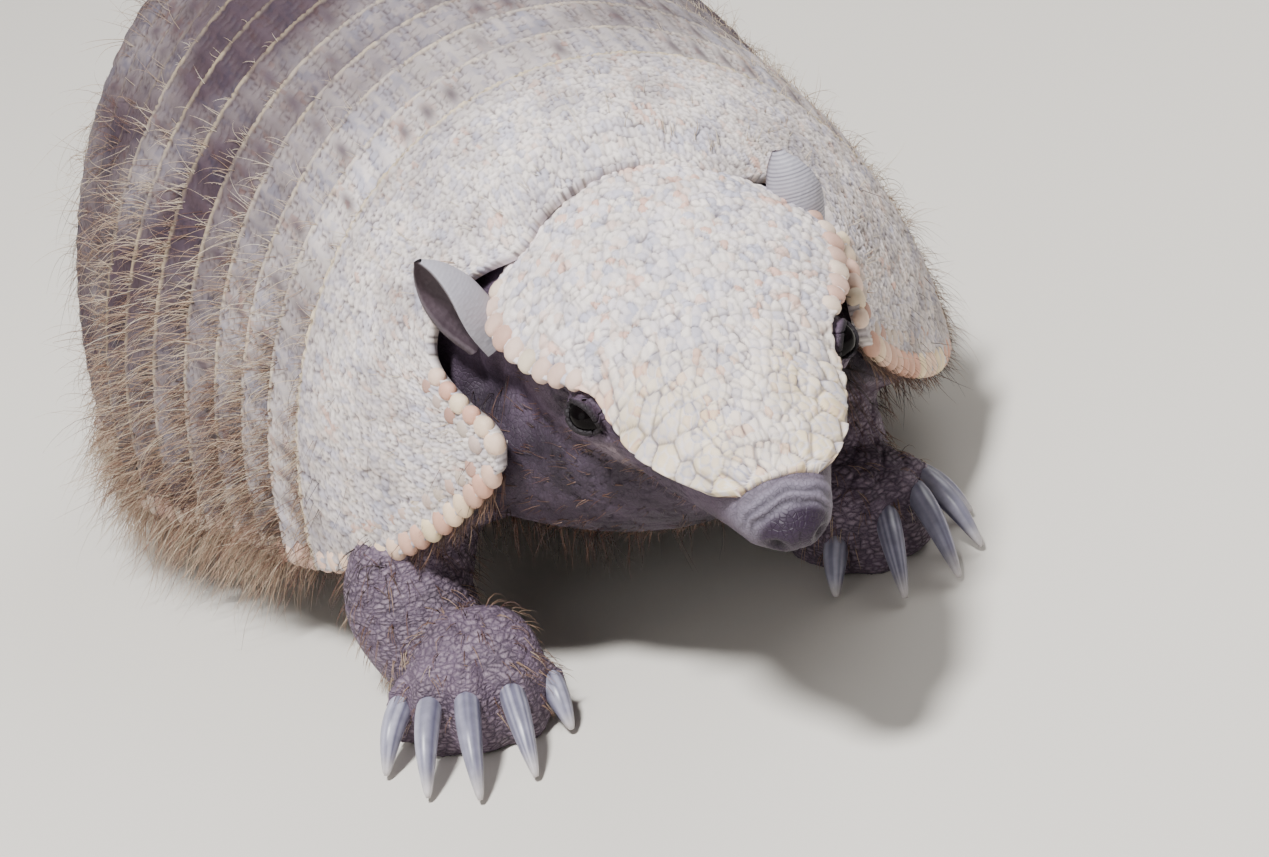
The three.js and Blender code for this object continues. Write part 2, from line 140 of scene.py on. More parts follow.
def smoothstep(low, high, value):
    """0 up to low, 1 from high on, and a smooth rise between them."""
    k = np.clip((np.asarray(value, float) - low) / (high - low), 0, 1)
    return k * k * (3 - 2 * k)


def profile(rows):
    """A smooth curve through rows of [place, sizes...], level in curvature at both ends."""
    table = np.array(rows, float)
    places, sizes = table[:, 0], table[:, 1:]
    last = len(places) - 1

    def at(place):
        place = np.clip(np.asarray(place, float), places[0], places[-1])
        i1 = np.clip(np.searchsorted(places, place, side="right"), 1, last)
        i0 = i1 - 1
        t0, t1 = places[i0], places[i1]
        before = np.where(i0 == 0, i1, i0 - 1)
        after = np.where(i1 == last, i0, np.minimum(i1 + 1, last))
        w_before = (0.5 * (t1 - t0) / (t0 - places[before]))[..., None]
        w_after = (0.5 * (t1 - t0) / (places[after] - t1))[..., None]
        p = ((place - t0) / (t1 - t0))[..., None]
        share_before = -w_before * p**3 + 2 * w_before * p**2 - w_before * p
        share_0 = (1 + w_before) * p**3 - (1.5 + 2 * w_before) * p**2 + (w_before - 0.5) * p + 1
        share_1 = (-1 - w_after) * p**3 + (1.5 + w_after) * p**2 + 0.5 * p
        share_after = w_after * p**3 - w_after * p**2
        values = (sizes[before] * share_before + sizes[i0] * share_0 + sizes[i1] * share_1
                  + sizes[after] * share_after)
        return [values[..., k] for k in range(sizes.shape[1])]

    return at


# Half width, height of the crest and height of the lower edge, at places along the back.
carapace = profile([
    [-63, 37, 98.5, 63],
    [-52, 43, 104, 52],
    [-38, 52, 107, 40],
    [-19, 64.5, 111.5, 29],
    [0, 74, 115, 24],
    [46, 82.5, 123, 21],
    [92, 92, 131, 20],
    [RUMP_FROM, 85, 136, 22],
])


def girth(s):
    """Half width, height of the crest and height of the edge at s; the rump closes to an arch."""
    sizes = carapace(np.minimum(s, RUMP_FROM))
    along = np.clip((np.asarray(s, float) - RUMP_FROM) / RUMP_LENGTH, 0, 1)
    left = np.sqrt(1 - along * along)
    return [end + (size - end) * left for size, end in zip(sizes, RUMP_END)]


def bend(x, s, z):
    """The shoulders lean a little to the left; behind them the back bends gently to the right."""
    turn = np.maximum(s, 0) / SPINE_RADIUS
    lean = SHOULDER_LEAN * (1 - smoothstep(0, 60, s))
    across = x * np.cos(turn) - SPINE_RADIUS * (1 - np.cos(turn)) + lean
    along = np.where(s <= 0, s, (x + SPINE_RADIUS) * np.sin(turn))
    return np.stack([across, along, z + 0 * x], axis=-1)


def shell(s, t, depth=0.0):
    """Points of the carapace: s along the back, t from -1 at the right edge to 1 at the left."""
    half, top, low = girth(s)
    angle = np.abs(t) * math.pi / 2
    across = (half - depth) * np.sin(angle) ** (2 / SQUARENESS)
    rise = (top - depth - low) * np.maximum(0, np.cos(angle)) ** (2 / SQUARENESS)
    return bend(np.sign(t) * across, s + 0 * t, low + rise)


def scatter(a, b, seed):
    """A steady random number from 0 to 1 for each pair of whole numbers."""
    value = np.sin(np.asarray(a) * 127.1 + np.asarray(b) * 311.7 + seed * 74.7) * 43758.5453
    return value - np.floor(value)


def cells(u, v, seed, jitter):
    """Irregular cells one unit across: distance from the middle and to the edge, the cell's number."""
    iu, iv = np.floor(u), np.floor(v)
    nearest = np.full(u.shape, 9.0)
    second = np.full(u.shape, 9.0)
    number = np.zeros(u.shape)
    for du in (-1, 0, 1):
        for dv in (-1, 0, 1):
            cu, cv = iu + du, iv + dv
            mu = cu + 0.5 + jitter * (scatter(cu, cv, seed) - 0.5) + 0.5 * (cv % 2) - 0.25
            mv = cv + 0.5 + jitter * (scatter(cu, cv, seed + 1) - 0.5)
            distance = np.hypot(mu - u, mv - v)
            closer = distance < nearest
            second = np.where(closer, nearest, np.minimum(second, distance))
            number = np.where(closer, scatter(cu, cv, seed + 2), number)
            nearest = np.where(closer, distance, nearest)
    return nearest, second - nearest, number


def blotches(points, size, seed):
    """Soft patches about size across, from 0 to 1, from a few crossing waves."""
    rng = np.random.default_rng(seed)
    value = np.zeros(points.shape[:-1])
    waves = 7
    for _ in range(waves):
        wave = rng.normal(size=3)
        wave *= 2 * math.pi / (size * rng.uniform(0.7, 1.6)) / np.linalg.norm(wave)
        value += np.sin(points @ wave + rng.uniform(0, 6.3))
    return 0.5 + value / waves


def unit(vectors):
    """The same directions at length 1."""
    return vectors / np.maximum(1e-9, np.linalg.norm(vectors, axis=-1, keepdims=True))


def facing(surface, a, b):
    """Outward normals of a surface: a runs back, b from -1 at the right edge to 1 at the left."""
    ahead = surface(a + 0.05, b) - surface(a - 0.05, b)
    over = surface(a, np.minimum(b + 1e-3, 1)) - surface(a, np.maximum(b - 1e-3, -1))
    return unit(np.cross(over, ahead))


def globe(polar, turns):
    """Directions all round: rings at polar angles from +Z, each with the same turns."""
    polar = polar[:, None]
    return np.stack([np.sin(polar) * np.cos(turns), np.sin(polar) * np.sin(turns),
                     np.cos(polar) + 0 * turns], axis=-1)


def grid_faces(rows, columns):
    """Quads between neighbouring points of a grid."""
    corner = np.arange((rows - 1) * columns).reshape(rows - 1, columns)[:, :-1].ravel()
    return np.stack([corner, corner + 1, corner + columns + 1, corner + columns], axis=-1)


def build(name, points, faces, material, marks=None):
    """A smooth mesh object from animal millimetres; marks are numbers from 0 to 1 on its points."""
    mesh = bpy.data.meshes.new(name)
    points = metres(points)
    corners = np.array([len(face) for face in faces])
    mesh.vertices.add(len(points))
    mesh.vertices.foreach_set("co", points.ravel())
    mesh.loops.add(int(corners.sum()))
    mesh.loops.foreach_set("vertex_index", np.concatenate(faces))
    mesh.polygons.add(len(faces))
    mesh.polygons.foreach_set("loop_start", np.cumsum(corners) - corners)
    mesh.update(calc_edges=True)
    mesh.polygons.foreach_set("use_smooth", np.ones(len(faces), bool))
    for key, values in (marks or {}).items():
        mesh.attributes.new(key, "FLOAT", "POINT").data.foreach_set("value", np.asarray(values, float))
    mesh.materials.append(material)
    made = bpy.data.objects.new(name, mesh)
    bpy.context.scene.collection.objects.link(made)
    return made


def wrapped(count):
    """Place and depth along one side of a plate, from 0 to 1, its two edges folded under."""
    along = np.concatenate([[0.035, 0], np.linspace(0, 1, count), [1, 0.965]])
    tuck = np.concatenate([[1, 0.85], np.zeros(count), [0.85, 1]])
    return along, tuck


def plate_grid(rows, columns):
    """Along from 0 to 1, across from -1 to 1 and how far folded under, for the points of a plate."""
    along, tuck_along = wrapped(rows)
    over, tuck_over = wrapped(columns)
    across = np.clip(2 * over[None, :] - 1, -1, 1)
    return along[:, None], across, np.maximum(tuck_along[:, None], tuck_over[None, :])


def plated(points, normals, tuck, fold, height, marks):
    """A plate's points, quads and marks, its relief raised and its four edges folded under."""
    points = points + normals * (height * (1 - tuck) - fold * tuck)[..., None]
    marks = {key: np.broadcast_to(values, tuck.shape).ravel() for key, values in marks.items()}
    return points.reshape(-1, 3), grid_faces(*tuck.shape), marks


STUD_TURNS, STUD_RINGS = 14, 9
STUD_SINK, STUD_SQUARENESS = 0.1, 0.85


def studs(surface, places, wide, long, tall):
    """Half-buried domes at places (a, b) of a surface, their long way across it."""
    s, t = np.array(places, float).T
    w = facing(surface, s, t)
    v = surface(s, np.clip(t + 1e-3 * np.sign(t), -1, 1)) - surface(s, t - 1e-3 * np.sign(t))
    v = unit(v - w * np.sum(v * w, axis=1, keepdims=True))
    u = np.cross(v, w)
    middles = surface(s, t) - w * np.broadcast_to(tall, s.shape)[:, None] * STUD_SINK
    ball = globe(np.linspace(0.012, math.pi - 0.05, STUD_RINGS),
                 np.linspace(0, 2 * math.pi, STUD_TURNS, endpoint=False)).reshape(-1, 3)
    ball = np.sign(ball) * np.abs(ball) ** STUD_SQUARENESS
    corner = np.arange((STUD_RINGS - 1) * STUD_TURNS)
    after = corner - corner % STUD_TURNS + (corner + 1) % STUD_TURNS
    quads = np.stack([corner, corner + STUD_TURNS, after + STUD_TURNS, after], axis=-1)
    size = [np.broadcast_to(x, s.shape)[:, None, None] for x in (wide, long, tall)]
    points = (middles[:, None] + ball[:, :1] * u[:, None] * size[0] + ball[:, 1:2] * v[:, None] * size[1]
              + ball[:, 2:] * w[:, None] * size[2])
    faces = quads[None] + np.arange(len(middles))[:, None, None] * len(ball)
    return points.reshape(-1, 3), faces.reshape(-1, 4)


def spaced(surface, path, gap):
    """Places every gap millimetres along a path of (a, b) on a surface, and how far along each is."""
    path = np.array(path, float)
    fine = np.linspace(0, len(path) - 1, 200)
    path = np.stack([np.interp(fine, np.arange(len(path)), column) for column in path.T], axis=-1)
    points = surface(path[:, 0], path[:, 1])
    run = np.concatenate([[0], np.cumsum(np.linalg.norm(np.diff(points, axis=0), axis=1))])
    part = (np.arange(int(run[-1] / gap)) + 0.5) / int(run[-1] / gap)
    return np.stack([np.interp(part * run[-1], run, column) for column in path.T], axis=-1), part


def add_node(material, kind, out, sockets, **settings):
    """Adds a node with its settings and links, and gives back one output, by its name or number.

    A socket takes a number, a hex colour or another node's output."""
    node = material.node_tree.nodes.new("ShaderNode" + kind)
    for key, value in settings.items():
        setattr(node, key, value)
    for key, value in sockets.items():
        if isinstance(value, bpy.types.NodeSocket):
            material.node_tree.links.new(value, node.inputs[key])
        else:
            node.inputs[key].default_value = srgb(value) if isinstance(value, str) else value
    return node.outputs[out]


# Beaded horn: keratin grown over bone, matt and slightly waxy, dirt left in its grooves.
# Dirt lies in patches 8 mm across. The grain of real horn is finer than the 0.7 mm drawn here.
# The marks say where the grooves, dark middles, worn rims and cream border scutes are, and how pale the
# horn is; on the plates pale is painted light, paler towards the brightly lit front.
HORN_MARKS = ("pale", "groove", "dark", "rim", "border", "tint")
horn, shader = new_material("beaded_horn")
mark = {key: add_node(horn, "Attribute", "Fac", {}, attribute_name=key) for key in HORN_MARKS}
place = add_node(horn, "TexCoord", "Object", {})
stain = add_node(horn, "TexNoise", "Fac", {"Vector": place, "Scale": 130.0, "Detail": 4.0})
stain = add_node(horn, "MapRange", 0, {"Value": stain, "From Min": 0.3, "From Max": 0.7,
                                       "To Min": 0.8, "To Max": 1.08})
hues = add_node(horn, "ValToRGB", "Color", {"Fac": mark["tint"]})
stops = hues.node.color_ramp.elements
stops[0].color = srgb("#b4b8d2")
stops[1].color = srgb("#eab093")
for spot, hue in ((0.25, "#ddd9e2"), (0.5, "#fbf3ee"), (0.72, "#fff9f0"), (0.88, "#f0d6c6")):
    stops.new(spot).color = srgb(hue)
border_hues = add_node(horn, "ValToRGB", "Color", {"Fac": mark["tint"]})
stops = border_hues.node.color_ramp.elements
stops[0].color = srgb("#f2dcb4")
stops[1].color = srgb("#cf9a83")
stops.new(0.55).color = srgb("#e6c3ae")
grime = add_node(horn, "Math", 0, {0: mark["groove"], 1: 0.8}, operation="MULTIPLY")
colour = "#43353f"
for amount, over, blend in ((mark["pale"], "#f2ecec", "MIX"), (0.75, hues, "MULTIPLY"),
                            (mark["dark"], "#473942", "MIX"), (mark["rim"], "#e6d0a6", "MIX"),
                            (mark["border"], border_hues, "MIX"), (grime, "#3b2d32", "MIX"),
                            (1.0, stain, "MULTIPLY")):
    colour = add_node(horn, "Mix", 2, {0: amount, 6: colour, 7: over}, data_type="RGBA", blend_type=blend)
horn.node_tree.links.new(colour, shader.inputs["Base Color"])
grain = add_node(horn, "TexNoise", "Fac", {"Vector": place, "Scale": 1500.0, "Detail": 3.0})
waxy = add_node(horn, "MapRange", 0, {"Value": grain, "To Min": 0.48, "To Max": 0.72})
horn.node_tree.links.new(waxy, shader.inputs["Roughness"])
pores = add_node(horn, "Bump", "Normal", {"Height": grain, "Strength": 0.35, "Distance": 0.00015})
horn.node_tree.links.new(pores, shader.inputs["Normal"])
shader.inputs["Specular IOR Level"].default_value = 0.4


def scute_rows(across, along, row, wide):
    """Beaded oblong scutes side by side: a long bead between small ones, pits at the rear edge."""
    number = np.round(across / wide)
    offset = across / wide - number
    tint = scatter(number, row, 11)
    ridge = np.clip(1 - (offset / 0.2) ** 2, 0, 1) ** 0.6 * smoothstep(0.04, 0.2, along)
    ridge = ridge * (1 - smoothstep(0.86, 0.97, along))
    _, edge, bead_tint = cells(across / 1.25 + 0.3 * along, along * 5.5 + row * 7, 21, 0.55)
    bead = smoothstep(0.02, 0.4, edge) * (1 - ridge)
    joint = smoothstep(0.43, 0.5, np.abs(offset))
    pit = np.exp(-((np.abs(offset) - 0.27) * wide / 0.45) ** 2 - ((along - 0.9) * 12 / 0.7) ** 2)
    height = 0.5 * ridge + 0.26 * bead - 0.3 * joint - 0.35 * pit
    dirt = 0.7 * (1 - smoothstep(0.0, 0.25, edge)) * (1 - ridge)
    groove = np.clip(0.5 * joint + 0.9 * pit + dirt, 0, 1)
    core = np.exp(-(offset / 0.23) ** 2 - ((along - 0.45) / 0.3) ** 2)
    dark = core * smoothstep(0.52, 0.8, tint) * 0.85
    rim = smoothstep(0.88, 0.96, along) * (0.1 + 0.28 * scatter(number, row, 31))
    return height, {"groove": groove, "dark": dark, "rim": rim, "tint": 0.55 * bead_tint + 0.45 * tint}


def beads(across, along, wide, long, seed):
    """Small domed beads of horn in loose rows, with dirt between them."""
    near, edge, tint = cells(across / wide, along / long, seed, 0.8)
    dome = np.sqrt(np.clip(1 - (near / 0.85) ** 2, 0, 1)) * smoothstep(0.0, 0.3, edge)
    chosen = scatter(np.floor(across / wide * 0.9), np.floor(along / long * 0.9), seed + 5)
    chipped = smoothstep(0.6, 0.9, chosen)
    groove = (1 - smoothstep(0.02, 0.3, edge)) * (0.55 + 0.45 * chipped)
    return 0.5 * dome, {"groove": groove, "tint": tint}


shoulder_edge = profile([[0, -38], [0.2, -40], [0.34, -43.5], [0.42, -39.5], [0.5, -36], [0.62, -36],
                         [0.74, -46], [0.85, -55], [0.93, -58], [1, -57]])


def shoulder_front(t):
    """The front edge follows the head, is notched for the ear and reaches forward beside the cheek."""
    return shoulder_edge(np.abs(t))[0]


# Each relief gives the height of the horn over its plate and the marks that the material reads.
def shoulder_relief(s, across, points):
    height, marks = beads(across, s, 1.3, 2.3, 3)
    _, edge, tint = cells(across / 6.4, s / 7.5, 8, 0.35)
    height += 0.22 * smoothstep(0.0, 0.3, edge)
    marks["groove"] = np.clip(marks["groove"] + 0.3 * (1 - smoothstep(0, 0.1, edge)), 0, 1)
    marks["tint"] = 0.7 * marks["tint"] + 0.3 * tint
    marks["dark"] = 0.25 * smoothstep(0.62, 0.8, blotches(points, 16, 4))
    marks["rim"] = smoothstep(-1.6, -0.6, s) * 0.6
    # pale: painted light, the shield paler towards the front where the light falls brightest; the blotches
    # are real patches of tone.
    marks["pale"] = 0.84 - 0.3 * smoothstep(-14, 0, s) + 0.12 * blotches(points, 40, 5)
    return height, marks


def band_relief(index):
    def relief(s, across, points):
        along = (s - index * BAND_PITCH) / BAND_PITCH
        height, marks = scute_rows(across, along, index, 6.3)
        # pale: painted light, the bands darker one by one from front to rear as the light falls off; the
        # blotches are real patches of tone.
        marks["pale"] = np.clip(0.5 - 0.13 * index, 0.02, 1) + 0.3 * (blotches(points, 30, 6) - 0.35)
        return height, marks
    return relief


def hip_relief(s, across, points):
    row = np.floor((s - BAND_COUNT * BAND_PITCH) / HIP_ROW)
    along = (s - BAND_COUNT * BAND_PITCH) / HIP_ROW - row
    height, marks = scute_rows(across + 3.2 * (row % 2), along, row + 40, 6.4)
    seam = 1 - smoothstep(0, 0.07, np.minimum(along, 1 - along))
    height -= 0.22 * seam
    marks["groove"] = np.clip(marks["groove"] + 0.5 * seam, 0, 1)
    marks["rim"] = marks["rim"] * 0.5
    # pale: nearly none, painted shade for the rear lying in less light; the blotches are real patches of
    # tone.
    marks["pale"] = 0.03 + 0.2 * (blotches(points, 34, 7) - 0.3)
    return height, marks


def armour(front, rear, rows, columns, relief, lift=0.0, nape=0.0):
    """One plate as a fine arch with its relief, its four edges folded under.

    nape is how far the middle of its front edge dips to meet the plate before it."""
    along, t, tuck = plate_grid(rows, columns)
    s = front(t) + (rear(t) - front(t)) * along
    dip = nape * (1 - smoothstep(0.0, 0.3, along)) * (1 - smoothstep(0.3, 0.5, np.abs(t)))
    level_points = shell(s, t, dip - lift * along)
    steps = np.linalg.norm(np.diff(level_points, axis=1), axis=-1)
    across = np.concatenate([np.zeros((s.shape[0], 1)), np.cumsum(steps, axis=1)], axis=1)
    across -= across[:, [s.shape[1] // 2]]
    height, marks = relief(s, across, level_points)
    return plated(level_points, facing(shell, s, t), tuck, PLATE_FOLD, height, marks)


def straight(place):
    """An edge of a plate that runs straight across the back."""
    return lambda t: place + 0 * t


def joined(parts):
    """Several sets of points, faces and marks as one."""
    points, faces, marks, first = [], [], {}, 0
    for some_points, some_faces, some_marks in parts:
        points.append(some_points)
        faces.append(some_faces + first)
        first += len(some_points)
        for key in HORN_MARKS:
            values = np.broadcast_to(some_marks.get(key, 0.0), (len(some_points),))
            marks.setdefault(key, []).append(values)
    return np.concatenate(points), np.concatenate(faces), {k: np.concatenate(v) for k, v in marks.items()}


BAND_GAP = 0.3
HIP_FRONT = BAND_COUNT * BAND_PITCH + BAND_GAP
HEM = 0.985


def border(surface, places, wide, long, tall, seed, cream=1.0):
    """Border scutes: cream to pinkish where cream is 1, like the plate where it is 0."""
    points, faces = studs(surface, places, wide, long, tall)
    tint = np.repeat(np.random.default_rng(seed).random(len(places)), STUD_TURNS * STUD_RINGS)
    return points, faces, {"border": cream, "pale": 0.1 + 0.9 * cream, "tint": tint}


def side_row(side, t, places, gap):
    """One row of border scutes low on one side, and how far along the row each is."""
    return spaced(shell, [(s, side * t) for s in places], gap)


def fit_plate(name, parts, replaced):
    """One plate of horn made of its parts, in place of one solid."""
    points, faces, marks = joined(parts)
    plate = build(name, points, faces, horn, marks)
    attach(plate, "root")
    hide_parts(replaced)


parts = [armour(shoulder_front, straight(0), 150, 420, shoulder_relief, BAND_LIFT, 3.4)]
for side in (-1, 1):
    over = np.linspace(0.66, 0.95, 12)
    margin, part = spaced(shell, [(shoulder_front(t) + 1.0, side * t) for t in over], 4.2)
    size = (2.0 + 0.35 * part) * (0.88 + 0.24 * scatter(np.round(part * 40), side, 4))
    parts.append(border(shell, margin, size * 1.08, size, size * 0.8, 2 + side, 0.85))
    inner, part = spaced(shell, [(shoulder_front(t) + 5.6, side * (t - 0.01)) for t in over[1:-1]], 4.3)
    size = 1.6 + 0.55 * part
    parts.append(border(shell, inner, size, size, size * 0.62, 5 + side, 0.35))
    hem, part = side_row(side, HEM, np.linspace(-55.5, -0.6, 12), 4.4)
    parts.append(border(shell, hem, 2.1 + 0.15 * part, 2.9 + 0.5 * part, 1.9, 8 + side))
    second, _ = side_row(side, 0.93, np.linspace(-51, -1.5, 12), 4.4)
    parts.append(border(shell, second, 1.9, 2.2, 1.25, 11 + side, 0.45))
fit_plate("shoulder_plate", parts, "shoulder_shield")

for index in range(BAND_COUNT):
    start = index * BAND_PITCH + BAND_GAP
    end = (index + 1) * BAND_PITCH
    parts = [armour(straight(start), straight(end), 34, 440, band_relief(index), BAND_LIFT)]
    hem = [(start + f * BAND_PITCH, side * HEM) for side in (-1, 1) for f in (0.18, 0.5, 0.82)]
    parts.append(border(shell, hem, 2.2, 3.3, 1.8, 50 + index, 0.7 - 0.05 * index))
    fit_plate(f"band_plate_{index + 1}", parts, f"band_{index + 1}")

parts = [armour(straight(HIP_FRONT), straight(RUMP_REAR), 140, 380, hip_relief)]
for side in (-1, 1):
    hem, _ = side_row(side, HEM, np.linspace(HIP_FRONT + 1, RUMP_REAR - 2, 14), 4.8)
    parts.append(border(shell, hem, 2.3, 3.4, 1.8, 70 + side, 0.35))
rear, _ = spaced(shell, [(RUMP_REAR - 1.2, t) for t in np.linspace(-0.95, 0.95, 19)], 5.2)
parts.append(border(shell, rear, 2.5, 2.8, 1.3, 74, 0.3))
fit_plate("hip_plate", parts, "hip_shield")

# ---------------------------------------------------------------------------------------------
# Head shield: one stiff plate from the muzzle to behind the ears, grown onto the skull.
# Bone scutes under pale horn, beaded all over, with larger smooth scutes in front of the eyes and
# round ones above them.
# ---------------------------------------------------------------------------------------------
HEAD_AT = np.array([0.3, -131.7, 61.0])
HEAD_PITCH, HEAD_YAW, HEAD_ROLL = (math.radians(a) for a in (11.2, -3.2, 1.5))
head_turn = np.array(Matrix.Rotation(HEAD_YAW, 3, "Z") @ Matrix.Rotation(HEAD_PITCH, 3, "X")
                     @ Matrix.Rotation(HEAD_ROLL, 3, "Y"))
HEAD_PLATE_FROM, HEAD_PLATE_TO = 8.5, 104
HEAD_PLATE_FOLD = 2.0

# Half width, height of the crown and fall from it to the edge, at places back from the nose.
head_plate_rows = profile([
    [8.5, 8, 4.8, 1.2], [11, 11.8, 5.8, 2.8], [15, 14.4, 7.1, 4.6], [20, 17, 8.4, 6.4],
    [26, 19.3, 10.1, 8.4], [32, 21.2, 11.8, 10], [42, 23, 14.2, 10.4], [47, 24, 15.4, 8.8],
    [52, 27.2, 16.4, 9.2], [62, 32, 18.4, 13.1], [74, 35.5, 20.2, 14.6], [82, 36.2, 21, 14.8],
    [90, 33, 21.6, 13.5], [97, 25.5, 21.9, 10.5], [102, 14, 21.8, 5.7], [104, 5, 21.7, 2],
])


def from_head(points):
    """From the head's own frame, the nose at the origin and +Y back along it."""
    return points @ head_turn.T + HEAD_AT


def crown(back, u):
    """Points of the head shield: back from the nose, u from -1 at its right edge to 1 at its left."""
    half, top, fall = head_plate_rows(back)
    return from_head(np.stack([u * half, back + 0 * u, top - fall * np.abs(u) ** 2.4], axis=-1))


def crown_relief(back, u):
    across = u * head_plate_rows(back)[0]
    muzzle = smoothstep(0.5, 0.85, np.abs(u) + 0.3 * (1 - smoothstep(9, 18, back)))
    muzzle = muzzle * (1 - smoothstep(30, 50, back))
    warm = (1 - smoothstep(28, 56, back)) * (0.35 + 0.65 * smoothstep(0.1, 0.6, np.abs(u)))
    middle, edge, tint = cells(across / 4.6, back / 5.4, 31, 0.8)
    near, bead_edge, bead_tint = cells(across / 1.75, back / 2.4, 33, 0.85)
    bead = np.sqrt(np.clip(1 - (near / 0.85) ** 2, 0, 1)) * smoothstep(0.0, 0.3, bead_edge)
    broad = smoothstep(0.0, 0.35, edge) * np.sqrt(np.clip(1 - (middle / 1.05) ** 2, 0, 1))
    joint = 1 - smoothstep(0.02, 0.13, edge)
    height = 0.25 * broad + 0.5 * bead * (1 - 0.7 * muzzle) + 0.7 * muzzle * broad
    pits = 1 - smoothstep(0.02, 0.3, bead_edge)
    chosen = smoothstep(0.55, 0.8, scatter(np.floor(across / 1.7), np.floor(back / 2.4), 9))
    pits = pits * (0.25 + 0.5 * chosen) * (1 - 0.6 * muzzle)
    marks = {
        "groove": np.clip((0.45 + 0.4 * muzzle) * joint + pits, 0, 1),
        "rim": 0.95 * warm * smoothstep(0.05, 0.3, bead_edge) * (0.45 + 0.55 * tint),
        # pale: painted light, the head shield made whitest of all because it lies in the brightest light.
        "pale": 1.0,
        "tint": np.clip(0.5 + 0.9 * (bead_tint - 0.5) * (1 - 0.4 * muzzle)
                        + (0.3 + 0.55 * muzzle) * (tint - 0.5), 0, 1),
    }
    return height, marks


along, u, tuck = plate_grid(230, 190)
back = HEAD_PLATE_FROM + (HEAD_PLATE_TO - HEAD_PLATE_FROM) * along
height, marks = crown_relief(back, u)
parts = [plated(crown(back, u), facing(crown, back, u), tuck, HEAD_PLATE_FOLD, height, marks)]
BROW_ROW = ((50.5, 26), (55, 28), (62, 32), (70, 34), (78, 36), (86, 35), (92, 31))
for side in (-1, 1):
    brow, part = spaced(crown, [(b, side * (1 - 1.3 / w)) for b, w in BROW_ROW], 4.9)
    size = (2.0 + 0.45 * np.sin(np.pi * part)) * (0.9 + 0.2 * scatter(np.round(part * 40), side, 3))
    parts.append(border(crown, brow, size, size * 1.08, size * 0.72, 90 + side, 0.65))
fit_plate("head_plate", parts, "head_shield")

# ---------------------------------------------------------------------------------------------
# Eyes: small, dark brown and wet, the cornea a little proud of the ball.
# One ball each, sunk between the lids of the skin, which close over its upper and lower parts.
# ---------------------------------------------------------------------------------------------
EYE_AT = np.array([25.3, 50.0, 1.6])
EYE_RADIUS, CORNEA_RISE = 4.0, 0.28
GAZE = unit(np.array([0.68, -0.67, 0.3]))

# Wet eye: a brown so dark it is nearly black, under tears that give one small sharp highlight.
# The fibres of the iris are 1 mm apart.
eye_wet, shader = new_material("wet_eye")
place = add_node(eye_wet, "TexCoord", "Object", {})
fibres = add_node(eye_wet, "TexNoise", "Fac", {"Vector": place, "Scale": 900.0, "Detail": 3.0})
iris = add_node(eye_wet, "Mix", 2, {0: fibres, 6: "#030203", 7: "#0c0809"}, data_type="RGBA")
eye_wet.node_tree.links.new(iris, shader.inputs["Base Color"])
shader.inputs["Roughness"].default_value = 0.12
shader.inputs["IOR"].default_value = 1.38
shader.inputs["Specular IOR Level"].default_value = 0.12


def eye_centre(side):
    return from_head(EYE_AT * (side, 1, 1))


def gaze(side):
    """Which way an eye looks."""
    return head_turn @ (GAZE * (side, 1, 1))


EYE_RINGS, EYE_TURNS = 28, 40
for side, word in ((-1, "right"), (1, "left")):
    axis = gaze(side)
    across = unit(np.cross(axis, [0, 0, 1.0]))
    polar = np.linspace(0.02, math.pi - 0.02, EYE_RINGS)
    ways_out = globe(polar, np.linspace(0, 2 * math.pi, EYE_TURNS + 1))
    ways_out = (ways_out[..., 2:] * axis + ways_out[..., :1] * across
                + ways_out[..., 1:2] * np.cross(across, axis))
    reach = EYE_RADIUS + CORNEA_RISE * np.exp(-((polar / 0.55) ** 2))
    ball = build(f"eye_ball_{word}", (eye_centre(side) + reach[:, None, None] * ways_out).reshape(-1, 3),
                 grid_faces(EYE_RINGS, EYE_TURNS + 1), eye_wet)
    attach(ball, "root")
    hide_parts(f"eye_{word}")

# ---------------------------------------------------------------------------------------------
# Skin: everything that isn't armour, claw or eye, as one hide from nose to tail tip.
# Bare, wrinkled and purplish grey; ringed with small scutes on the tail, scaly on legs and feet.
# ---------------------------------------------------------------------------------------------
TAIL_LENGTH, TAIL_SWAY, TAIL_RING = 118, 12, 5.2
FOOT_SQUARENESS = 0.75
SOLE_CUT = 4
HEAD_MIDLINE, HEAD_SQUARENESS = -2, 0.85
BELLY_SQUARENESS = 0.62
VOXEL_SIZE = 1.2
LEVEL_UP = np.array([0, 0, 1.0])
FORWARD_UP = np.array([0, 1.0, 0])

# Palm: place from back to front, half width and height of each row. Digits: place across, reach
# ahead and height of each knuckle, then length and splay of its claw.
FORE_FOOT = {
    "palm": [[14, 9.5, 20], [9, 12.5, 23], [0, 15, 23], [-8, 14.5, 20], [-12, 11, 16]],
    "digits": [[-15, 3, 10, 11.5, -16], [-8.5, 13, 13.5, 19, -8], [0.5, 16, 15, 21.5, 0],
               [9, 13, 14, 19.5, 9], [16.5, 5, 11.5, 15, 22]],
    "toe_half": 4.6,
    "claw_half": 2.7,
}
HIND_FOOT = {
    "palm": [[26, 8, 15], [22, 11, 19], [8, 13, 21], [-6, 13.5, 20], [-14, 11, 15]],
    "digits": [[-13, 9, 8, 12, -10], [-6.5, 17, 10, 15, -4], [0.5, 19, 10.5, 16, 0], [7.5, 16, 10, 14, 6],
               [13.5, 7, 8, 11, 14]],
    "toe_half": 4.0,
    "claw_half": 2.3,
}
Leg = namedtuple("Leg", "kind word side foot at turn claw_turn fan rows")
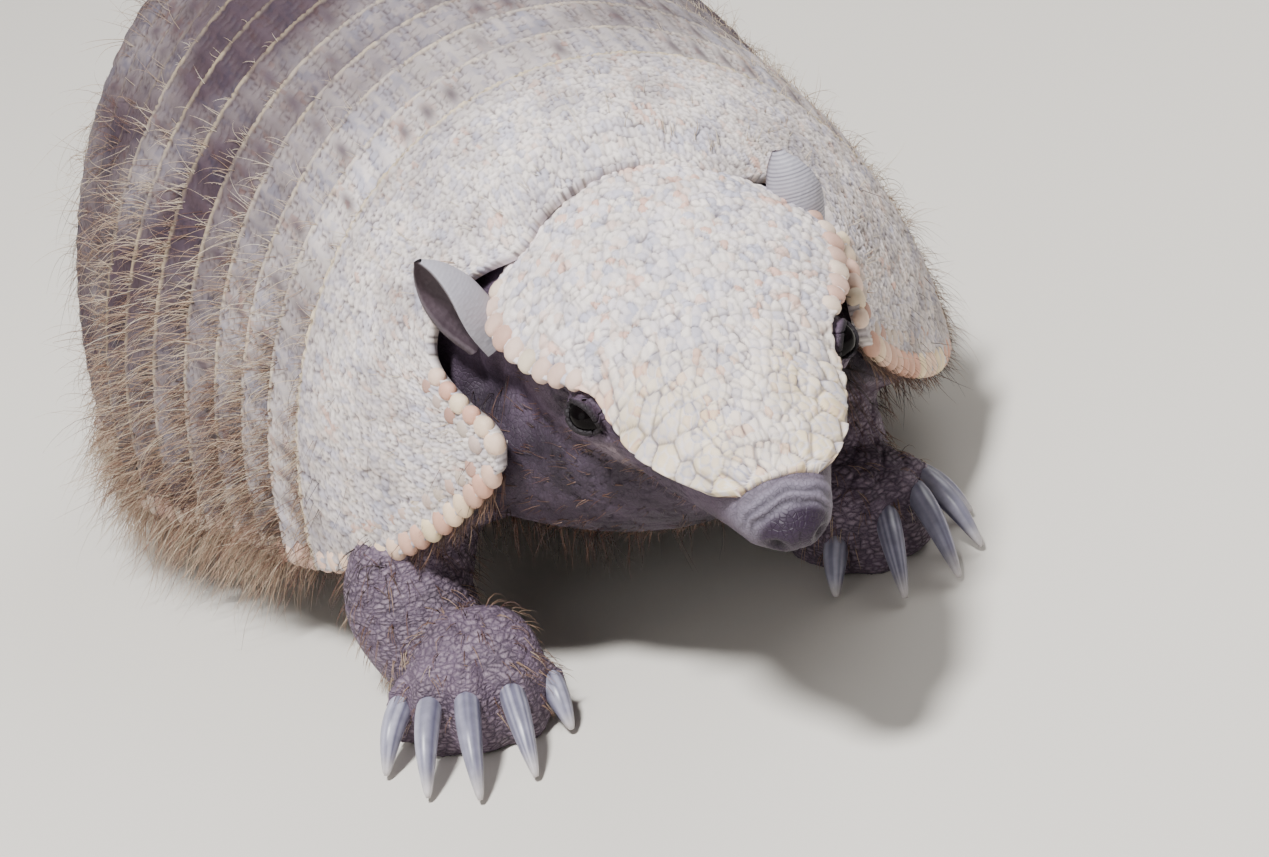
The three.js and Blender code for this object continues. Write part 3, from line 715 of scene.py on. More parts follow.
LEGS = [
    Leg("fore", "right", -1, FORE_FOOT, (-52, -49), 20, -4, 1,
        [[-40, -6, 54, 11, 12], [-44, -8, 41, 11, 12], [-50, -13, 30, 13, 13], [-57, -19, 21, 15, 13],
         [-57, -28, 14, 14, 12], [-54, -38, 8, 12, 8]]),
    Leg("fore", "left", 1, FORE_FOOT, (40, -31), 38, -40, 1.7,
        [[34, -4, 54, 14, 14], [38, -9, 40, 14, 14], [40, -14, 27, 14.5, 14], [40, -19, 15, 14, 13]]),
    Leg("hind", "right", -1, HIND_FOOT, (-68, 112), 4, 0, 1,
        [[-62, 118, 56, 20, 22], [-68, 120, 36, 18, 21], [-70, 124, 22, 13, 17], [-70, 126, 10, 10, 11]]),
    Leg("hind", "left", 1, HIND_FOOT, (42, 134), 16, 0, 1,
        [[32, 140, 56, 20, 22], [37, 142, 36, 18, 21], [40, 146, 22, 13, 17], [40, 148, 10, 10, 11]]),
]
# Inset from the shell's side, height of the belly and how deep the flesh lies under the plates.
flesh = profile([[-36, -15, 42, 6], [-28, -13, 35, 4], [-16, -10, 28, 2.5], [0, -6, 25, 1.2],
                 [24, -4, 22, 1], [66, -4, 21, 1], [112, -6, 22, 1.6], [140, -8, 26, 2.6],
                 [180, -10, 36, 3.6]])


def tube(rings):
    """A closed body from rings of points, its two ends capped by fans."""
    rings = np.asarray(rings, float)
    count, sides = rings.shape[:2]
    points = np.concatenate([rings.reshape(-1, 3), rings[0].mean(0)[None], rings[-1].mean(0)[None]])
    a = np.arange(sides)
    b = (a + 1) % sides
    faces = [(r * sides + i, r * sides + j, (r + 1) * sides + j, (r + 1) * sides + i)
             for r in range(count - 1) for i, j in zip(a, b)]
    last, tip = (count - 1) * sides, count * sides
    faces += [(j, i, tip) for i, j in zip(a, b)]
    faces += [(i + last, j + last, tip + 1) for i, j in zip(a, b)]
    return points, faces


def evened(rows, count):
    """So many rows, read off a smooth curve through the given ones."""
    fine = np.linspace(0, len(rows) - 1, count)
    return np.stack(profile(np.column_stack([np.arange(len(rows)), rows]))(fine), axis=-1)


def squarish(angle, power):
    """Across and up round a section, an oval at power 1 and squarer below it."""
    across, rise = np.cos(angle), np.sin(angle)
    return np.sign(across) * np.abs(across) ** power, np.sign(rise) * np.abs(rise) ** power


def swept(spine, upright, sides, wide, tall, tall_below, floor_gap):
    """Oval rings along a spine, from half widths and half heights, none of them below floor_gap."""
    along = unit(np.gradient(spine, axis=0))
    across = unit(np.cross(upright, along))
    rise = np.cross(along, across)
    a = np.linspace(0, 2 * math.pi, sides, endpoint=False)[None, :, None]
    tall = np.where(np.sin(a) < 0, tall_below[:, None, None], tall[:, None, None])
    rings = (spine[:, None] + across[:, None] * wide[:, None, None] * np.cos(a)
             + rise[:, None] * tall * np.sin(a))
    rings[..., 2] = np.maximum(rings[..., 2], floor_gap)
    return rings


def limb(rows, sides, upright, inset, steps=6):
    """A limb through rows of [x, y, z, half width, half height]."""
    rows = evened(rows, (len(rows) - 1) * steps + 1)
    wide, tall = rows[:, 3] - inset, rows[:, 4] - inset
    return tube(swept(rows[:, :3], upright, sides, wide, tall, tall, 0))


def trunk_body():
    """The flesh that fills the carapace, and the belly below its edge."""
    stations = np.linspace(-36, RUMP_REAR - 1, 70)
    over = np.linspace(-1, 1, 60)
    under = np.linspace(0, math.pi, 34)[1:-1]
    rings = []
    for s in stations:
        half = float(girth(s)[0])
        inset, belly, sunk = (float(x) for x in flesh(s))
        spine = shell(np.full(over.shape, s), over, PLATE_THICKNESS + 0.6 + sunk)
        edge = float(spine[-1, 2])
        side, drop = squarish(under, BELLY_SQUARENESS)
        below = bend((half + inset) * side, np.full(under.shape, s), edge - (edge - belly) * drop)
        rings.append(np.concatenate([spine, below]))
    return tube(rings)


# Half width, crown and chin of the skull, at places back from the nose.
skull_rows = profile([
    [0, 6, 2.5, -6.5], [2.5, 8.5, 4, -8.5], [8, 9.9, 4.6, -9.5], [16, 12.6, 5.6, -10.2],
    [30, 17.6, 9, -13], [42, 20.8, 12.4, -16.5], [52, 25, 14, -20], [64, 30, 15.5, -23.5],
    [78, 33, 16.6, -25], [90, 31, 16.6, -25],
])


def skull_body():
    """The head under its shield, the snout drawn in and rounded off."""
    a = np.linspace(0, 2 * math.pi, 60, endpoint=False)
    places = np.concatenate([[0, 0.15, 0.4, 0.8, 1.3, 2.0, 2.8, 3.8, 5.0], np.linspace(6.5, 90, 56)])
    rings = []
    for back in places:
        half, top, bottom = (float(x) for x in skull_rows(back))
        shrink = 0.22 + 0.78 * math.sqrt(1 - max(0.0, 1 - back / 6.5) ** 2)
        across, rise = squarish(a, HEAD_SQUARENESS)
        across = across * (half - 0.4) * shrink
        rise = rise * np.where(rise > 0, top - HEAD_MIDLINE - 0.4, HEAD_MIDLINE - bottom - 0.4) * shrink
        ring = np.stack([-across, np.full(a.shape, back), HEAD_MIDLINE + rise], axis=-1)
        rings.append(from_head(ring))
    return tube(rings)


def orbit_body(side):
    """The swelling of lids and brow round each eye."""
    ball = globe(np.linspace(0.08, math.pi - 0.08, 20), np.linspace(0, 2 * math.pi, 32, endpoint=False))
    return tube(from_head((EYE_AT + (-1.6, 0.8, -0.4)) * (side, 1, 1) + ball * (5.6, 7.6, 6.2)))


def foot_frame(leg, points):
    """From a foot's own frame, its toes towards -Y and +X to the animal's left."""
    turn = math.radians(leg.side * leg.turn)
    c, s = math.cos(turn), math.sin(turn)
    spin = np.array([[c, -s, 0], [s, c, 0], [0, 0, 1]])
    return points @ spin.T + (*leg.at, 0)


def sole_ring(x, y, half, low, high):
    """One section of a palm or toe, cut off flat at its sole."""
    a = np.linspace(0, 2 * math.pi, 30, endpoint=False)
    across, rise = squarish(a, FOOT_SQUARENESS)
    under = low - SOLE_CUT
    z = np.maximum(low, (under + high) / 2 + (high - under) / 2 * rise)
    return np.stack([x + half * across, np.full(a.shape, y), z], axis=-1)


def foot_bodies(leg):
    """The palm of one foot, then its five toes."""
    foot, side = leg.foot, leg.side
    rings = [sole_ring(0, y, half - 0.3, 0, high - 0.3) for y, half, high in evened(foot["palm"], 16)]
    yield tube(foot_frame(leg, np.array(rings)))
    toe = profile([[0.1, 6, 0], [0.6, 4.6, 0], [0.85, 4, 0.3], [0.95, 3, 1.2], [1, 2, 2.4]])
    for across, ahead, high, _, _ in foot["digits"]:
        rings = []
        for part in np.linspace(0.1, 1, 14):
            rise, pinch = (float(x) for x in toe(part))
            rings.append(sole_ring(side * across * (0.6 + 0.4 * part), -ahead * part,
                                   foot["toe_half"] - 0.4 * pinch, max(0.0, pinch), high + rise))
        yield tube(foot_frame(leg, np.array(rings)))


TAIL_ROOT = bend(np.array([0.0]), np.array([RUMP_REAR + 0.3]), 0.0)[0]


def tail_body():
    """The tail, held low and straight behind, swaying a little to the right."""
    rows = [[0, 53, 13.5], [0.1, 49.5, 12.2], [0.3, 40, 10], [0.5, 30, 8], [0.7, 20.5, 6.2],
            [0.88, 13, 4.4], [0.97, 10, 2.9], [1, 9.2, 1.4]]
    rows = [[TAIL_ROOT[0] - TAIL_SWAY * math.sin(part * math.pi / 2), TAIL_ROOT[1] + part * TAIL_LENGTH,
             z, r, r] for part, z, r in rows]
    rows.insert(0, [TAIL_ROOT[0], TAIL_ROOT[1] - 12, 56, 13, 13])
    return limb(rows, 40, LEVEL_UP, 0.6, 10)


NECK_ROWS = [[2, -66, 74, 22, 15], [2, -48, 74, 29, 21], [1, -40, 75, 34, 22], [0, -28, 76, 37, 23]]
CHEST_ROWS = [[1, -76, 60, 14, 14], [1, -66, 56, 26, 19], [1, -52, 53, 35, 22], [0, -36, 52, 43, 24],
              [0, -16, 50, 50, 26]]
bodies = [trunk_body(), skull_body(), orbit_body(-1), orbit_body(1), tail_body(),
          limb(NECK_ROWS, 48, LEVEL_UP, 1.2), limb(CHEST_ROWS, 48, LEVEL_UP, 0)]
for leg in LEGS:
    bodies.append(limb(leg.rows, 44, FORWARD_UP, 0.8))
    bodies.extend(foot_bodies(leg))
points = np.concatenate([body[0] for body in bodies])
faces, first = [], 0
for body in bodies:
    faces += [tuple(int(i) + first for i in face) for face in body[1]]
    first += len(body[0])
rough = bpy.data.meshes.new("rough_skin")
rough.from_pydata(points.tolist(), [], faces)
rough_skin = bpy.data.objects.new("rough_skin", rough)
bpy.context.scene.collection.objects.link(rough_skin)
welder = rough_skin.modifiers.new("weld", "REMESH")
welder.mode = "VOXEL"
welder.voxel_size = VOXEL_SIZE
welded = bpy.data.meshes.new_from_object(rough_skin.evaluated_get(bpy.context.evaluated_depsgraph_get()))
bpy.data.objects.remove(rough_skin)


def read(items, key, size, kind=np.float32):
    """One value of every item of a mesh, as rows of so many numbers."""
    values = np.empty(len(items) * size, kind)
    items.foreach_get(key, values)
    return values.reshape(-1, size)


def move_points(mesh, points):
    mesh.vertices.foreach_set("co", points.astype(np.float32).ravel())


def relaxed(mesh, rounds):
    """A mesh's points drawn to the middle of their neighbours; those of the soles stay flat."""
    points = read(mesh.vertices, "co", 3).astype(float)
    edges = read(mesh.edges, "vertices", 2, np.int32)
    hold = (points[:, 2:] < 0.3) * 1.0
    count = np.bincount(edges.ravel(), minlength=len(points))[:, None]
    for _ in range(rounds):
        total = np.stack([np.bincount(edges[:, 0], points[edges[:, 1], k], len(points))
                          + np.bincount(edges[:, 1], points[edges[:, 0], k], len(points))
                          for k in range(3)], axis=-1)
        points = points + (total / np.maximum(count, 1) - points) * 0.5 * (1 - hold)
    return points


def to_head(points):
    """Into the head's own frame."""
    return (points - HEAD_AT) @ head_turn


move_points(welded, relaxed(welded, 4))

# Finer faces where the detail is: one cut more on face and forefeet, two round the nose and three
# round the eyes. The skull under the head plate isn't seen and stays as it is.
fine = bmesh.new()
fine.from_mesh(welded)
for closeness in range(3):
    chosen = []
    for edge in fine.edges:
        middle = (np.array(edge.verts[0].co) + np.array(edge.verts[1].co)) / 2
        local = to_head(middle)
        on_face = local[1] < 84 and abs(local[0]) < 40 and middle[1] < -66 and middle[2] > 34
        eye_gap = np.linalg.norm(local - EYE_AT * (np.sign(local[0]), 1, 1))
        under_plate = local[1] > 12 and local[2] > 1 and abs(local[0]) < 4 + 0.27 * local[1]
        under_plate = under_plate and eye_gap > 13
        near_nose = local[1] < 10
        near_foot = middle[2] < 42 and middle[1] < -2 and (-80 < middle[0] < -18 or 12 < middle[0] < 78)
        wanted = ((on_face and not under_plate) or near_foot, eye_gap < 10.5 or near_nose, eye_gap < 8.6)
        if wanted[closeness]:
            chosen.append(edge)
    bmesh.ops.subdivide_edges(fine, edges=chosen, cuts=1, use_grid_fill=True)
bmesh.ops.triangulate(fine, faces=[face for face in fine.faces if len(face.verts) > 4])
fine.to_mesh(welded)
fine.free()


def hollow(distance, width):
    """1 at distance 0, fading softly over width."""
    return np.exp(-((distance / width) ** 2))


points = relaxed(welded, 2)

# Lids: the hide opens in an almond over each ball, its rim thick, with creases above and below.
rim_mark = np.zeros(len(points))
inside_mark = np.zeros(len(points))
for side in (-1, 1):
    axis = gaze(side)
    nose_ward = head_turn @ np.array([0, -1, -0.28])
    slit = unit(nose_ward - axis * (nose_ward @ axis))
    lid_up = np.cross(slit, axis)
    lid_up *= np.sign(lid_up[2])
    away = points - eye_centre(side)
    reach = np.linalg.norm(away, axis=1)
    heading = away / np.maximum(reach, 1e-6)[:, None]
    ahead = heading @ axis
    near = (reach < 10.5) & (ahead > 0.05)
    along_slit = np.arctan2(heading @ slit, ahead)
    over_slit = np.arctan2(heading @ lid_up, ahead)
    q = np.sqrt((along_slit / 1.08) ** 2 + (over_slit / np.where(over_slit > 0, 0.55, 0.5)) ** 2)
    lid = 4.5 + 0.3 * hollow(q - 1.3, 0.3) - 0.22 * hollow(q - 1.9, 0.2) - 0.14 * hollow(q - 2.6, 0.2)
    wanted = lid + (reach - lid) * smoothstep(1.9, 3.4, q)
    wanted = 3.1 + (wanted - 3.1) * smoothstep(0.86, 1.04, q)
    points[near] = (eye_centre(side) + heading * wanted[:, None])[near]
    rim_mark = np.maximum(rim_mark, near * (1 - smoothstep(1.2, 1.75, q)))
    inside_mark = np.maximum(inside_mark, near * (1 - smoothstep(0.8, 1.0, q)))

move_points(welded, points)
welded.update()
normal = read(welded.vertex_normals, "vector", 3).astype(float)
local = to_head(points)
x, back, z = local.T
face = (1 - smoothstep(74, 88, back)) * (points[:, 2] > 30) * (points[:, 1] < -40) * (np.abs(x) < 42)

# Nose: a bare pad with two nostrils, closed off by a furrow, with arched wrinkles behind it.
pad_reach = np.linalg.norm((local - (0, 0.5, -3.9)) * (0.86, 0.9, 1.12), axis=1)
nostril = np.hypot((np.abs(x) - 3.7) / 1.3, z + 4.0)
at_front = face * (1 - smoothstep(1.5, 4.0, back))
raised = -1.3 * hollow(nostril, 0.9) * at_front + 0.2 * hollow(nostril - 1.7, 0.5) * at_front
raised += 2.0 * (1 - smoothstep(0.5, 7.6, pad_reach)) * face
above = face * smoothstep(-5, 0.5, z)
furrows = np.zeros(len(points))
for ring, depth in ((7.4, 0.5), (9.3, 0.42), (11.6, 0.2)):
    wavering = pad_reach - ring - 1.1 * (blotches(local, 5, 24) - 0.5)
    raised += (0.15 * depth * hollow(wavering - 1.0, 0.7) - depth * hollow(wavering, 0.5)) * above
    furrows = np.maximum(furrows, depth * hollow(wavering, 0.55) * above)
raised -= 0.3 * hollow(x, 0.35) * at_front * (z < -2)

# Mouth: a long line low on the side of the muzzle, the lips a little full.
mouth = z - (-6.9 - 0.055 * back)
lips = face * smoothstep(2, 5, back) * (1 - smoothstep(38, 46, back))
fullness = 0.3 * hollow(mouth - 1.3, 0.8) + 0.3 * hollow(mouth + 1.4, 0.8)
raised += lips * (fullness - 0.75 * hollow(mouth, 0.42))

# Folds: fine wrinkles all over the face, deeper ones over the cheek and where the legs bend.
stretched = np.stack([x, back * 0.55, z], axis=-1)
fold = np.abs(blotches(stretched, 4.5, 21) - 0.5) * 2
raised -= 0.42 * (1 - smoothstep(0.0, 0.2, fold)) * face * smoothstep(12, 26, back)
fold = np.abs(blotches(stretched, 9, 22) - 0.5) * 2
cheek = face * smoothstep(36, 60, back) * (z < 4)
raised -= 0.6 * (1 - smoothstep(0.0, 0.12, fold)) * cheek
leg_mark = np.zeros(len(points))
for leg in LEGS:
    middle = np.array(leg.rows).mean(0)
    near_leg = np.minimum(np.hypot(points[:, 0] - middle[0], points[:, 1] - middle[1]),
                          np.hypot(points[:, 0] - leg.at[0], points[:, 1] - leg.at[1]) - 6)
    on_leg = (1 - smoothstep(24, 30, near_leg)) * (1 - smoothstep(34, 44, points[:, 2]))
    leg_mark = np.maximum(leg_mark, on_leg)
squeezed = points * (0.4, 0.4, 1.6)
fold = np.abs(blotches(squeezed, 5, 23) - 0.5) * 2
raised -= 0.7 * (1 - smoothstep(0.0, 0.24, fold)) * leg_mark * smoothstep(12, 20, points[:, 2])

# Tail: rings of small oblong scutes, each ring overlapping the next.
along_tail = points[:, 1] - TAIL_ROOT[1]
tail_mark = smoothstep(-2, 3, along_tail)
ring_part = along_tail / TAIL_RING - np.floor(along_tail / TAIL_RING)
ring_height = smoothstep(0.02, 0.5, ring_part) * (1 - smoothstep(0.86, 0.98, ring_part))
raised += tail_mark * (0.5 * ring_height - 0.25)
points = points + normal * raised[:, None]
points[:, 2] = np.maximum(points[:, 2], 0.0)
move_points(welded, metres(points))
welded.polygons.foreach_set("use_smooth", np.ones(len(welded.polygons), bool))

patch = hollow(np.hypot(0.8 * (back - 50), z + 8.5), 4.5) * face * (np.abs(x) > 12)
patch *= 0.5 + 0.8 * blotches(local, 4, 25)
skin_marks = {
    "face": face,
    "nose": face * (1 - smoothstep(5.4, 7.4, pad_reach)),
    # snout: the top of the snout painted paler, a painted highlight where the light falls on it from
    # above.
    "snout": face * (1 - smoothstep(9, 17, pad_reach)) * smoothstep(-8, -1, z),
    "pale": np.clip(patch + 0.12 * face * hollow(mouth + 1.5, 1.6) * lips, 0, 1),
    # throat: painted shade, the hide darker under the head, on the chest and low on the muzzle, where
    # shadow falls.
    "throat": np.maximum((1 - smoothstep(-10, 40, points[:, 1])) * (1 - face) * (1 - leg_mark)
                         * (1 - smoothstep(62, 78, points[:, 2])),
                         0.8 * face * smoothstep(4, 12, back) * (1 - smoothstep(-16, -5, z))),
    "shade": np.clip(inside_mark + 0.95 * rim_mark + lips * hollow(mouth, 0.45) + 1.3 * furrows
                     + 0.8 * hollow(nostril, 0.9) * at_front, 0, 1),
    "scaly": np.clip(leg_mark + tail_mark, 0, 1),
    "ring": tail_mark * (1 - smoothstep(0.04, 0.2, np.minimum(ring_part, 1 - ring_part))),
}
for key, values in skin_marks.items():
    welded.attributes.new(key, "FLOAT", "POINT").data.foreach_set("value", np.asarray(values, float))

# Bare hide: thick skin with fine wrinkles, slightly oily on the nose, its creases holding dirt.
# Scales are 1.6 mm across and creases 1 mm apart, in patches of colour 10 mm across.
hide, shader = new_material("bare_hide")
mark = {key: add_node(hide, "Attribute", "Fac", {}, attribute_name=key) for key in skin_marks}
place = add_node(hide, "TexCoord", "Object", {})
flattened = add_node(hide, "Mapping", "Vector", {"Vector": place, "Scale": (0.8, 0.8, 1.7)})
scales = add_node(hide, "TexVoronoi", "Distance", {"Vector": flattened, "Scale": 640.0},
                  feature="DISTANCE_TO_EDGE")
scales = add_node(hide, "MapRange", 0, {"Value": scales, "From Min": 0.0, "From Max": 0.34})
scales = add_node(hide, "Math", 0, {0: scales, 1: mark["scaly"]}, operation="MULTIPLY")
creases = add_node(hide, "TexVoronoi", "Distance", {"Vector": place, "Scale": 1000.0},
                   feature="DISTANCE_TO_EDGE")
creases = add_node(hide, "MapRange", 0, {"Value": creases, "From Min": 0.0, "From Max": 0.14})
mottle = add_node(hide, "TexNoise", "Fac", {"Vector": place, "Scale": 95.0, "Detail": 5.0,
                                           "Roughness": 0.6})
colour = add_node(hide, "ValToRGB", "Color", {"Fac": mottle})
stops = colour.node.color_ramp.elements
stops[0].position = 0.3
stops[0].color = srgb("#2b212d")
stops[1].position = 0.72
stops[1].color = srgb("#635366")
# The tops of the scales are painted paler than their edges: the pattern of the scales, with a painted
# highlight on each top.
scales_and_highlight, snout_highlight, ring_share = (
    add_node(hide, "Math", 0, {0: value, 1: share}, operation="MULTIPLY")
    for value, share in ((scales, 0.55), (mark["snout"], 0.55), (mark["ring"], 0.5)))
lines = add_node(hide, "MapRange", 0, {"Value": creases, "To Min": 0.8, "To Max": 1.0})
# Painted shade: the throat mark darkens the hide under the head, on the chest and low on the muzzle.
in_shade = add_node(hide, "MapRange", 0, {"Value": mark["throat"], "To Min": 1.0, "To Max": 0.42})
darkened = add_node(hide, "Math", 0, {0: lines, 1: in_shade}, operation="MULTIPLY")
for amount, over, blend in ((scales_and_highlight, "#a3919f", "MIX"), (snout_highlight, "#8b8595", "MIX"),
                            (mark["nose"], "#2b1e30", "MIX"), (mark["pale"], "#85767f", "MIX"),
                            (mark["shade"], "#171116", "MIX"), (1.0, darkened, "MULTIPLY"),
                            (ring_share, "#cbbcb0", "MIX")):
    colour = add_node(hide, "Mix", 2, {0: amount, 6: colour, 7: over}, data_type="RGBA", blend_type=blend)
hide.node_tree.links.new(colour, shader.inputs["Base Color"])
oily = add_node(hide, "MapRange", 0, {"Value": mark["nose"], "To Min": 0.62, "To Max": 0.5})
hide.node_tree.links.new(oily, shader.inputs["Roughness"])
grain = add_node(hide, "TexNoise", "Fac", {"Vector": place, "Scale": 1300.0, "Detail": 4.0})
bumps = add_node(hide, "Bump", "Normal", {"Height": scales, "Strength": 0.8, "Distance": 0.00025})
for height, strength, distance in ((creases, 0.6, 0.00015), (grain, 0.35, 0.00012)):
    bumps = add_node(hide, "Bump", "Normal", {"Height": height, "Strength": strength, "Distance": distance,
                                              "Normal": bumps})
hide.node_tree.links.new(bumps, shader.inputs["Normal"])
shader.inputs["Specular IOR Level"].default_value = 0.32

welded.materials.clear()
welded.materials.append(hide)
skin = bpy.data.objects.new("skin", welded)
bpy.context.scene.collection.objects.link(skin)
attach(skin, "root")
limb_nodes = [f"{leg.kind}{part}_{leg.word}" for leg in LEGS for part in ("leg", "foot")]
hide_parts("trunk", "neck", "head", "tail", *limb_nodes)

# ---------------------------------------------------------------------------------------------
# Ears: thin rolled leaves of skin standing behind the eyes, open outwards.
# Scaled outside in fine rows, bare and dark inside; they grow from the neck behind the head shield.
# ---------------------------------------------------------------------------------------------
EAR_RINGS, EAR_TURNS, EAR_ROW = 96, 56, 0.75
# Side, name, root, length, lean outward and backward, turn, girth and strength of its ribs.
EARS = [(-1, "right", (-35.6, 88, -1), 23, 27, 14, 20, 1.04, 0.2),
        (1, "left", (32, 88, -1), 22.5, -4, 15, -48, 0.78, 1.0)]
# Radius of the rolled leaf, half the turn it makes in radians and its thickness, root to tip.
ear_rows = profile([[0, 5.2, 2.3, 1.6], [0.35, 6.9, 2, 1.3], [0.65, 7.3, 1.6, 1.1], [0.88, 5, 1.3, 1],
                    [1, 1.8, 1.1, 0.8]])

# Ear skin: gristle under dry scaly skin, matt, pale grey with darker rows; plum-dark in the cup.
# The scales outside are 1 mm across, the clouds of colour in the cup 5 mm.
ear_skin, shader = new_material("ear_skin")
inner, rows = (add_node(ear_skin, "Attribute", "Fac", {}, attribute_name=key)
               for key in ("inner", "rows"))
place = add_node(ear_skin, "TexCoord", "Object", {})
cloud = add_node(ear_skin, "TexNoise", "Fac", {"Vector": place, "Scale": 200.0, "Detail": 3.0})
outside = add_node(ear_skin, "Mix", 2, {0: rows, 6: "#6a6772", 7: "#aaa7b1"}, data_type="RGBA")
cup = add_node(ear_skin, "Mix", 2, {0: cloud, 6: "#2b2127", 7: "#5b4c55"}, data_type="RGBA")
both = add_node(ear_skin, "Mix", 2, {0: inner, 6: outside, 7: cup}, data_type="RGBA")
ear_skin.node_tree.links.new(both, shader.inputs["Base Color"])
specks = add_node(ear_skin, "TexVoronoi", "Distance", {"Vector": place, "Scale": 900.0})
bumps = add_node(ear_skin, "Bump", "Normal", {"Height": specks, "Strength": 0.5, "Distance": 0.0002})
ear_skin.node_tree.links.new(bumps, shader.inputs["Normal"])
shader.inputs["Roughness"].default_value = 0.62

for side, word, at, length, out, lean, spin, girth_part, ribs in EARS:
    turned = np.array(Matrix.Rotation(math.radians(-lean), 3, "X")
                      @ Matrix.Rotation(math.radians(side * out), 3, "Y"))
    rings, inner_mark, rows_mark = [], [], []
    for part in np.linspace(0, 1, EAR_RINGS):
        radius, roll, thick = (float(v) for v in ear_rows(part))
        radius *= girth_part
        turns = math.radians(spin) + roll * np.linspace(-1, 1, EAR_TURNS)
        ridge = abs(math.sin(math.pi * (part * length / EAR_ROW)))
        outer_reach = radius + 0.06 * ribs * ridge + 0 * turns
        inner_reach = radius - thick + 0 * turns
        reach = np.concatenate([outer_reach, inner_reach[::-1]])
        turns = np.concatenate([turns, turns[::-1]])
        leaf = np.stack([-side * (reach * np.cos(turns) - radius * 0.4 * part), reach * np.sin(turns),
                         np.full(turns.shape, part * length)], axis=-1)
        rings.append(leaf if side > 0 else leaf[::-1])
        inside = np.concatenate([smoothstep(38, 50, np.arange(EAR_TURNS)) * 0.85, np.ones(EAR_TURNS)])
        inner_mark.append(inside if side > 0 else inside[::-1])
        rows_mark.append(np.full(2 * EAR_TURNS, 0.75 + ribs * (ridge - 0.75)))
    leaf_points, leaf_faces = tube(from_head(np.array(rings) @ turned.T + at))
    quads = np.array([face for face in leaf_faces if len(face) == 4])
    ear = build(f"ear_leaf_{word}", leaf_points[:-2], quads, ear_skin,
                {"inner": np.concatenate(inner_mark), "rows": np.concatenate(rows_mark)})
    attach(ear, "root")
    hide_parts(f"ear_{word}")

# ---------------------------------------------------------------------------------------------
# Claws: five on each foot, curved and blunt-backed, longest in the middle of the forefoot.
# Solid horn over bone, worn by digging; each grows out of the scaly skin at the end of its toe.
# ---------------------------------------------------------------------------------------------
CLAW_TIP_HEIGHT = 0.4
CLAW_SIDES = 28
# Height of the claw's back and of its flatter underside, for a half width of 1.
CLAW_BACK, CLAW_UNDERSIDE = 1.15, 0.7

# Claw horn: keratin in long fibres, satin, slate grey going pale and chipped towards the tip.
# Chips and scuffs are 2.5 mm long.
claw_horn, shader = new_material("claw_horn")
tip, fibre = (add_node(claw_horn, "Attribute", "Fac", {}, attribute_name=key)
              for key in ("tip", "fibre"))
place = add_node(claw_horn, "TexCoord", "Object", {})
chips = add_node(claw_horn, "TexNoise", "Fac", {"Vector": place, "Scale": 380.0, "Detail": 5.0})
scuffed = add_node(claw_horn, "MapRange", 0, {"Value": chips, "From Min": 0.35, "From Max": 0.7,
                                              "To Min": 0.82, "To Max": 1.12})
colour = "#5c5a70"
for amount, over, blend in ((fibre, "#a9a7b8", "MIX"), (tip, "#cfc8c4", "MIX"),
                            (1.0, scuffed, "MULTIPLY")):
    colour = add_node(claw_horn, "Mix", 2, {0: amount, 6: colour, 7: over}, data_type="RGBA",
                      blend_type=blend)
claw_horn.node_tree.links.new(colour, shader.inputs["Base Color"])
bumps = add_node(claw_horn, "Bump", "Normal", {"Height": chips, "Strength": 0.4, "Distance": 0.0001})
claw_horn.node_tree.links.new(bumps, shader.inputs["Normal"])
shader.inputs["Roughness"].default_value = 0.36
shader.inputs["IOR"].default_value = 1.55

for leg in LEGS:
    kind, word, side, foot = leg.kind, leg.word, leg.side, leg.foot
    for number, (across, ahead, high, length, splay) in enumerate(foot["digits"], 1):
        turn = math.radians(leg.fan * splay + leg.claw_turn)
        drop = high - 3 - CLAW_TIP_HEIGHT
        reach = math.sqrt(length * length - drop * drop)
        forward = np.array([side * math.sin(turn), -math.cos(turn), 0])
        start = np.array([side * across, -ahead - 0.3, high - 2])
        part = np.concatenate([[-0.16, -0.08], np.linspace(0, 1, 22)])
        spine = start + forward * (reach * part)[:, None]
        spine[:, 2] += 0.1 * length * np.sin(np.pi * np.maximum(part, 0)) - drop * np.maximum(part, 0)
        size = foot["claw_half"] * (1 - 0.76 * np.maximum(part, 0) ** 2.4) * (1 - 0.25 * (part > 0.99))
        rings = swept(spine, LEVEL_UP, CLAW_SIDES, size, CLAW_BACK * size, CLAW_UNDERSIDE * size, 0.25)
        claw_points, claw_faces = tube(foot_frame(leg, rings))
        streak = scatter(np.arange(CLAW_SIDES), number, 5)
        worn = 0.75 * smoothstep(0.72, 1.0, part)
        marks = {"tip": np.concatenate([np.repeat(worn, CLAW_SIDES), [0, 0.75]]),
                 "fibre": np.concatenate([np.tile(streak, len(part)), [0.5, 0.5]])}
        claw = build(f"claw_{kind}_{word}_{number}", claw_points, claw_faces, claw_horn, marks)
        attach(claw, "root")
        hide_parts(f"{kind}claw_{word}_{number}")

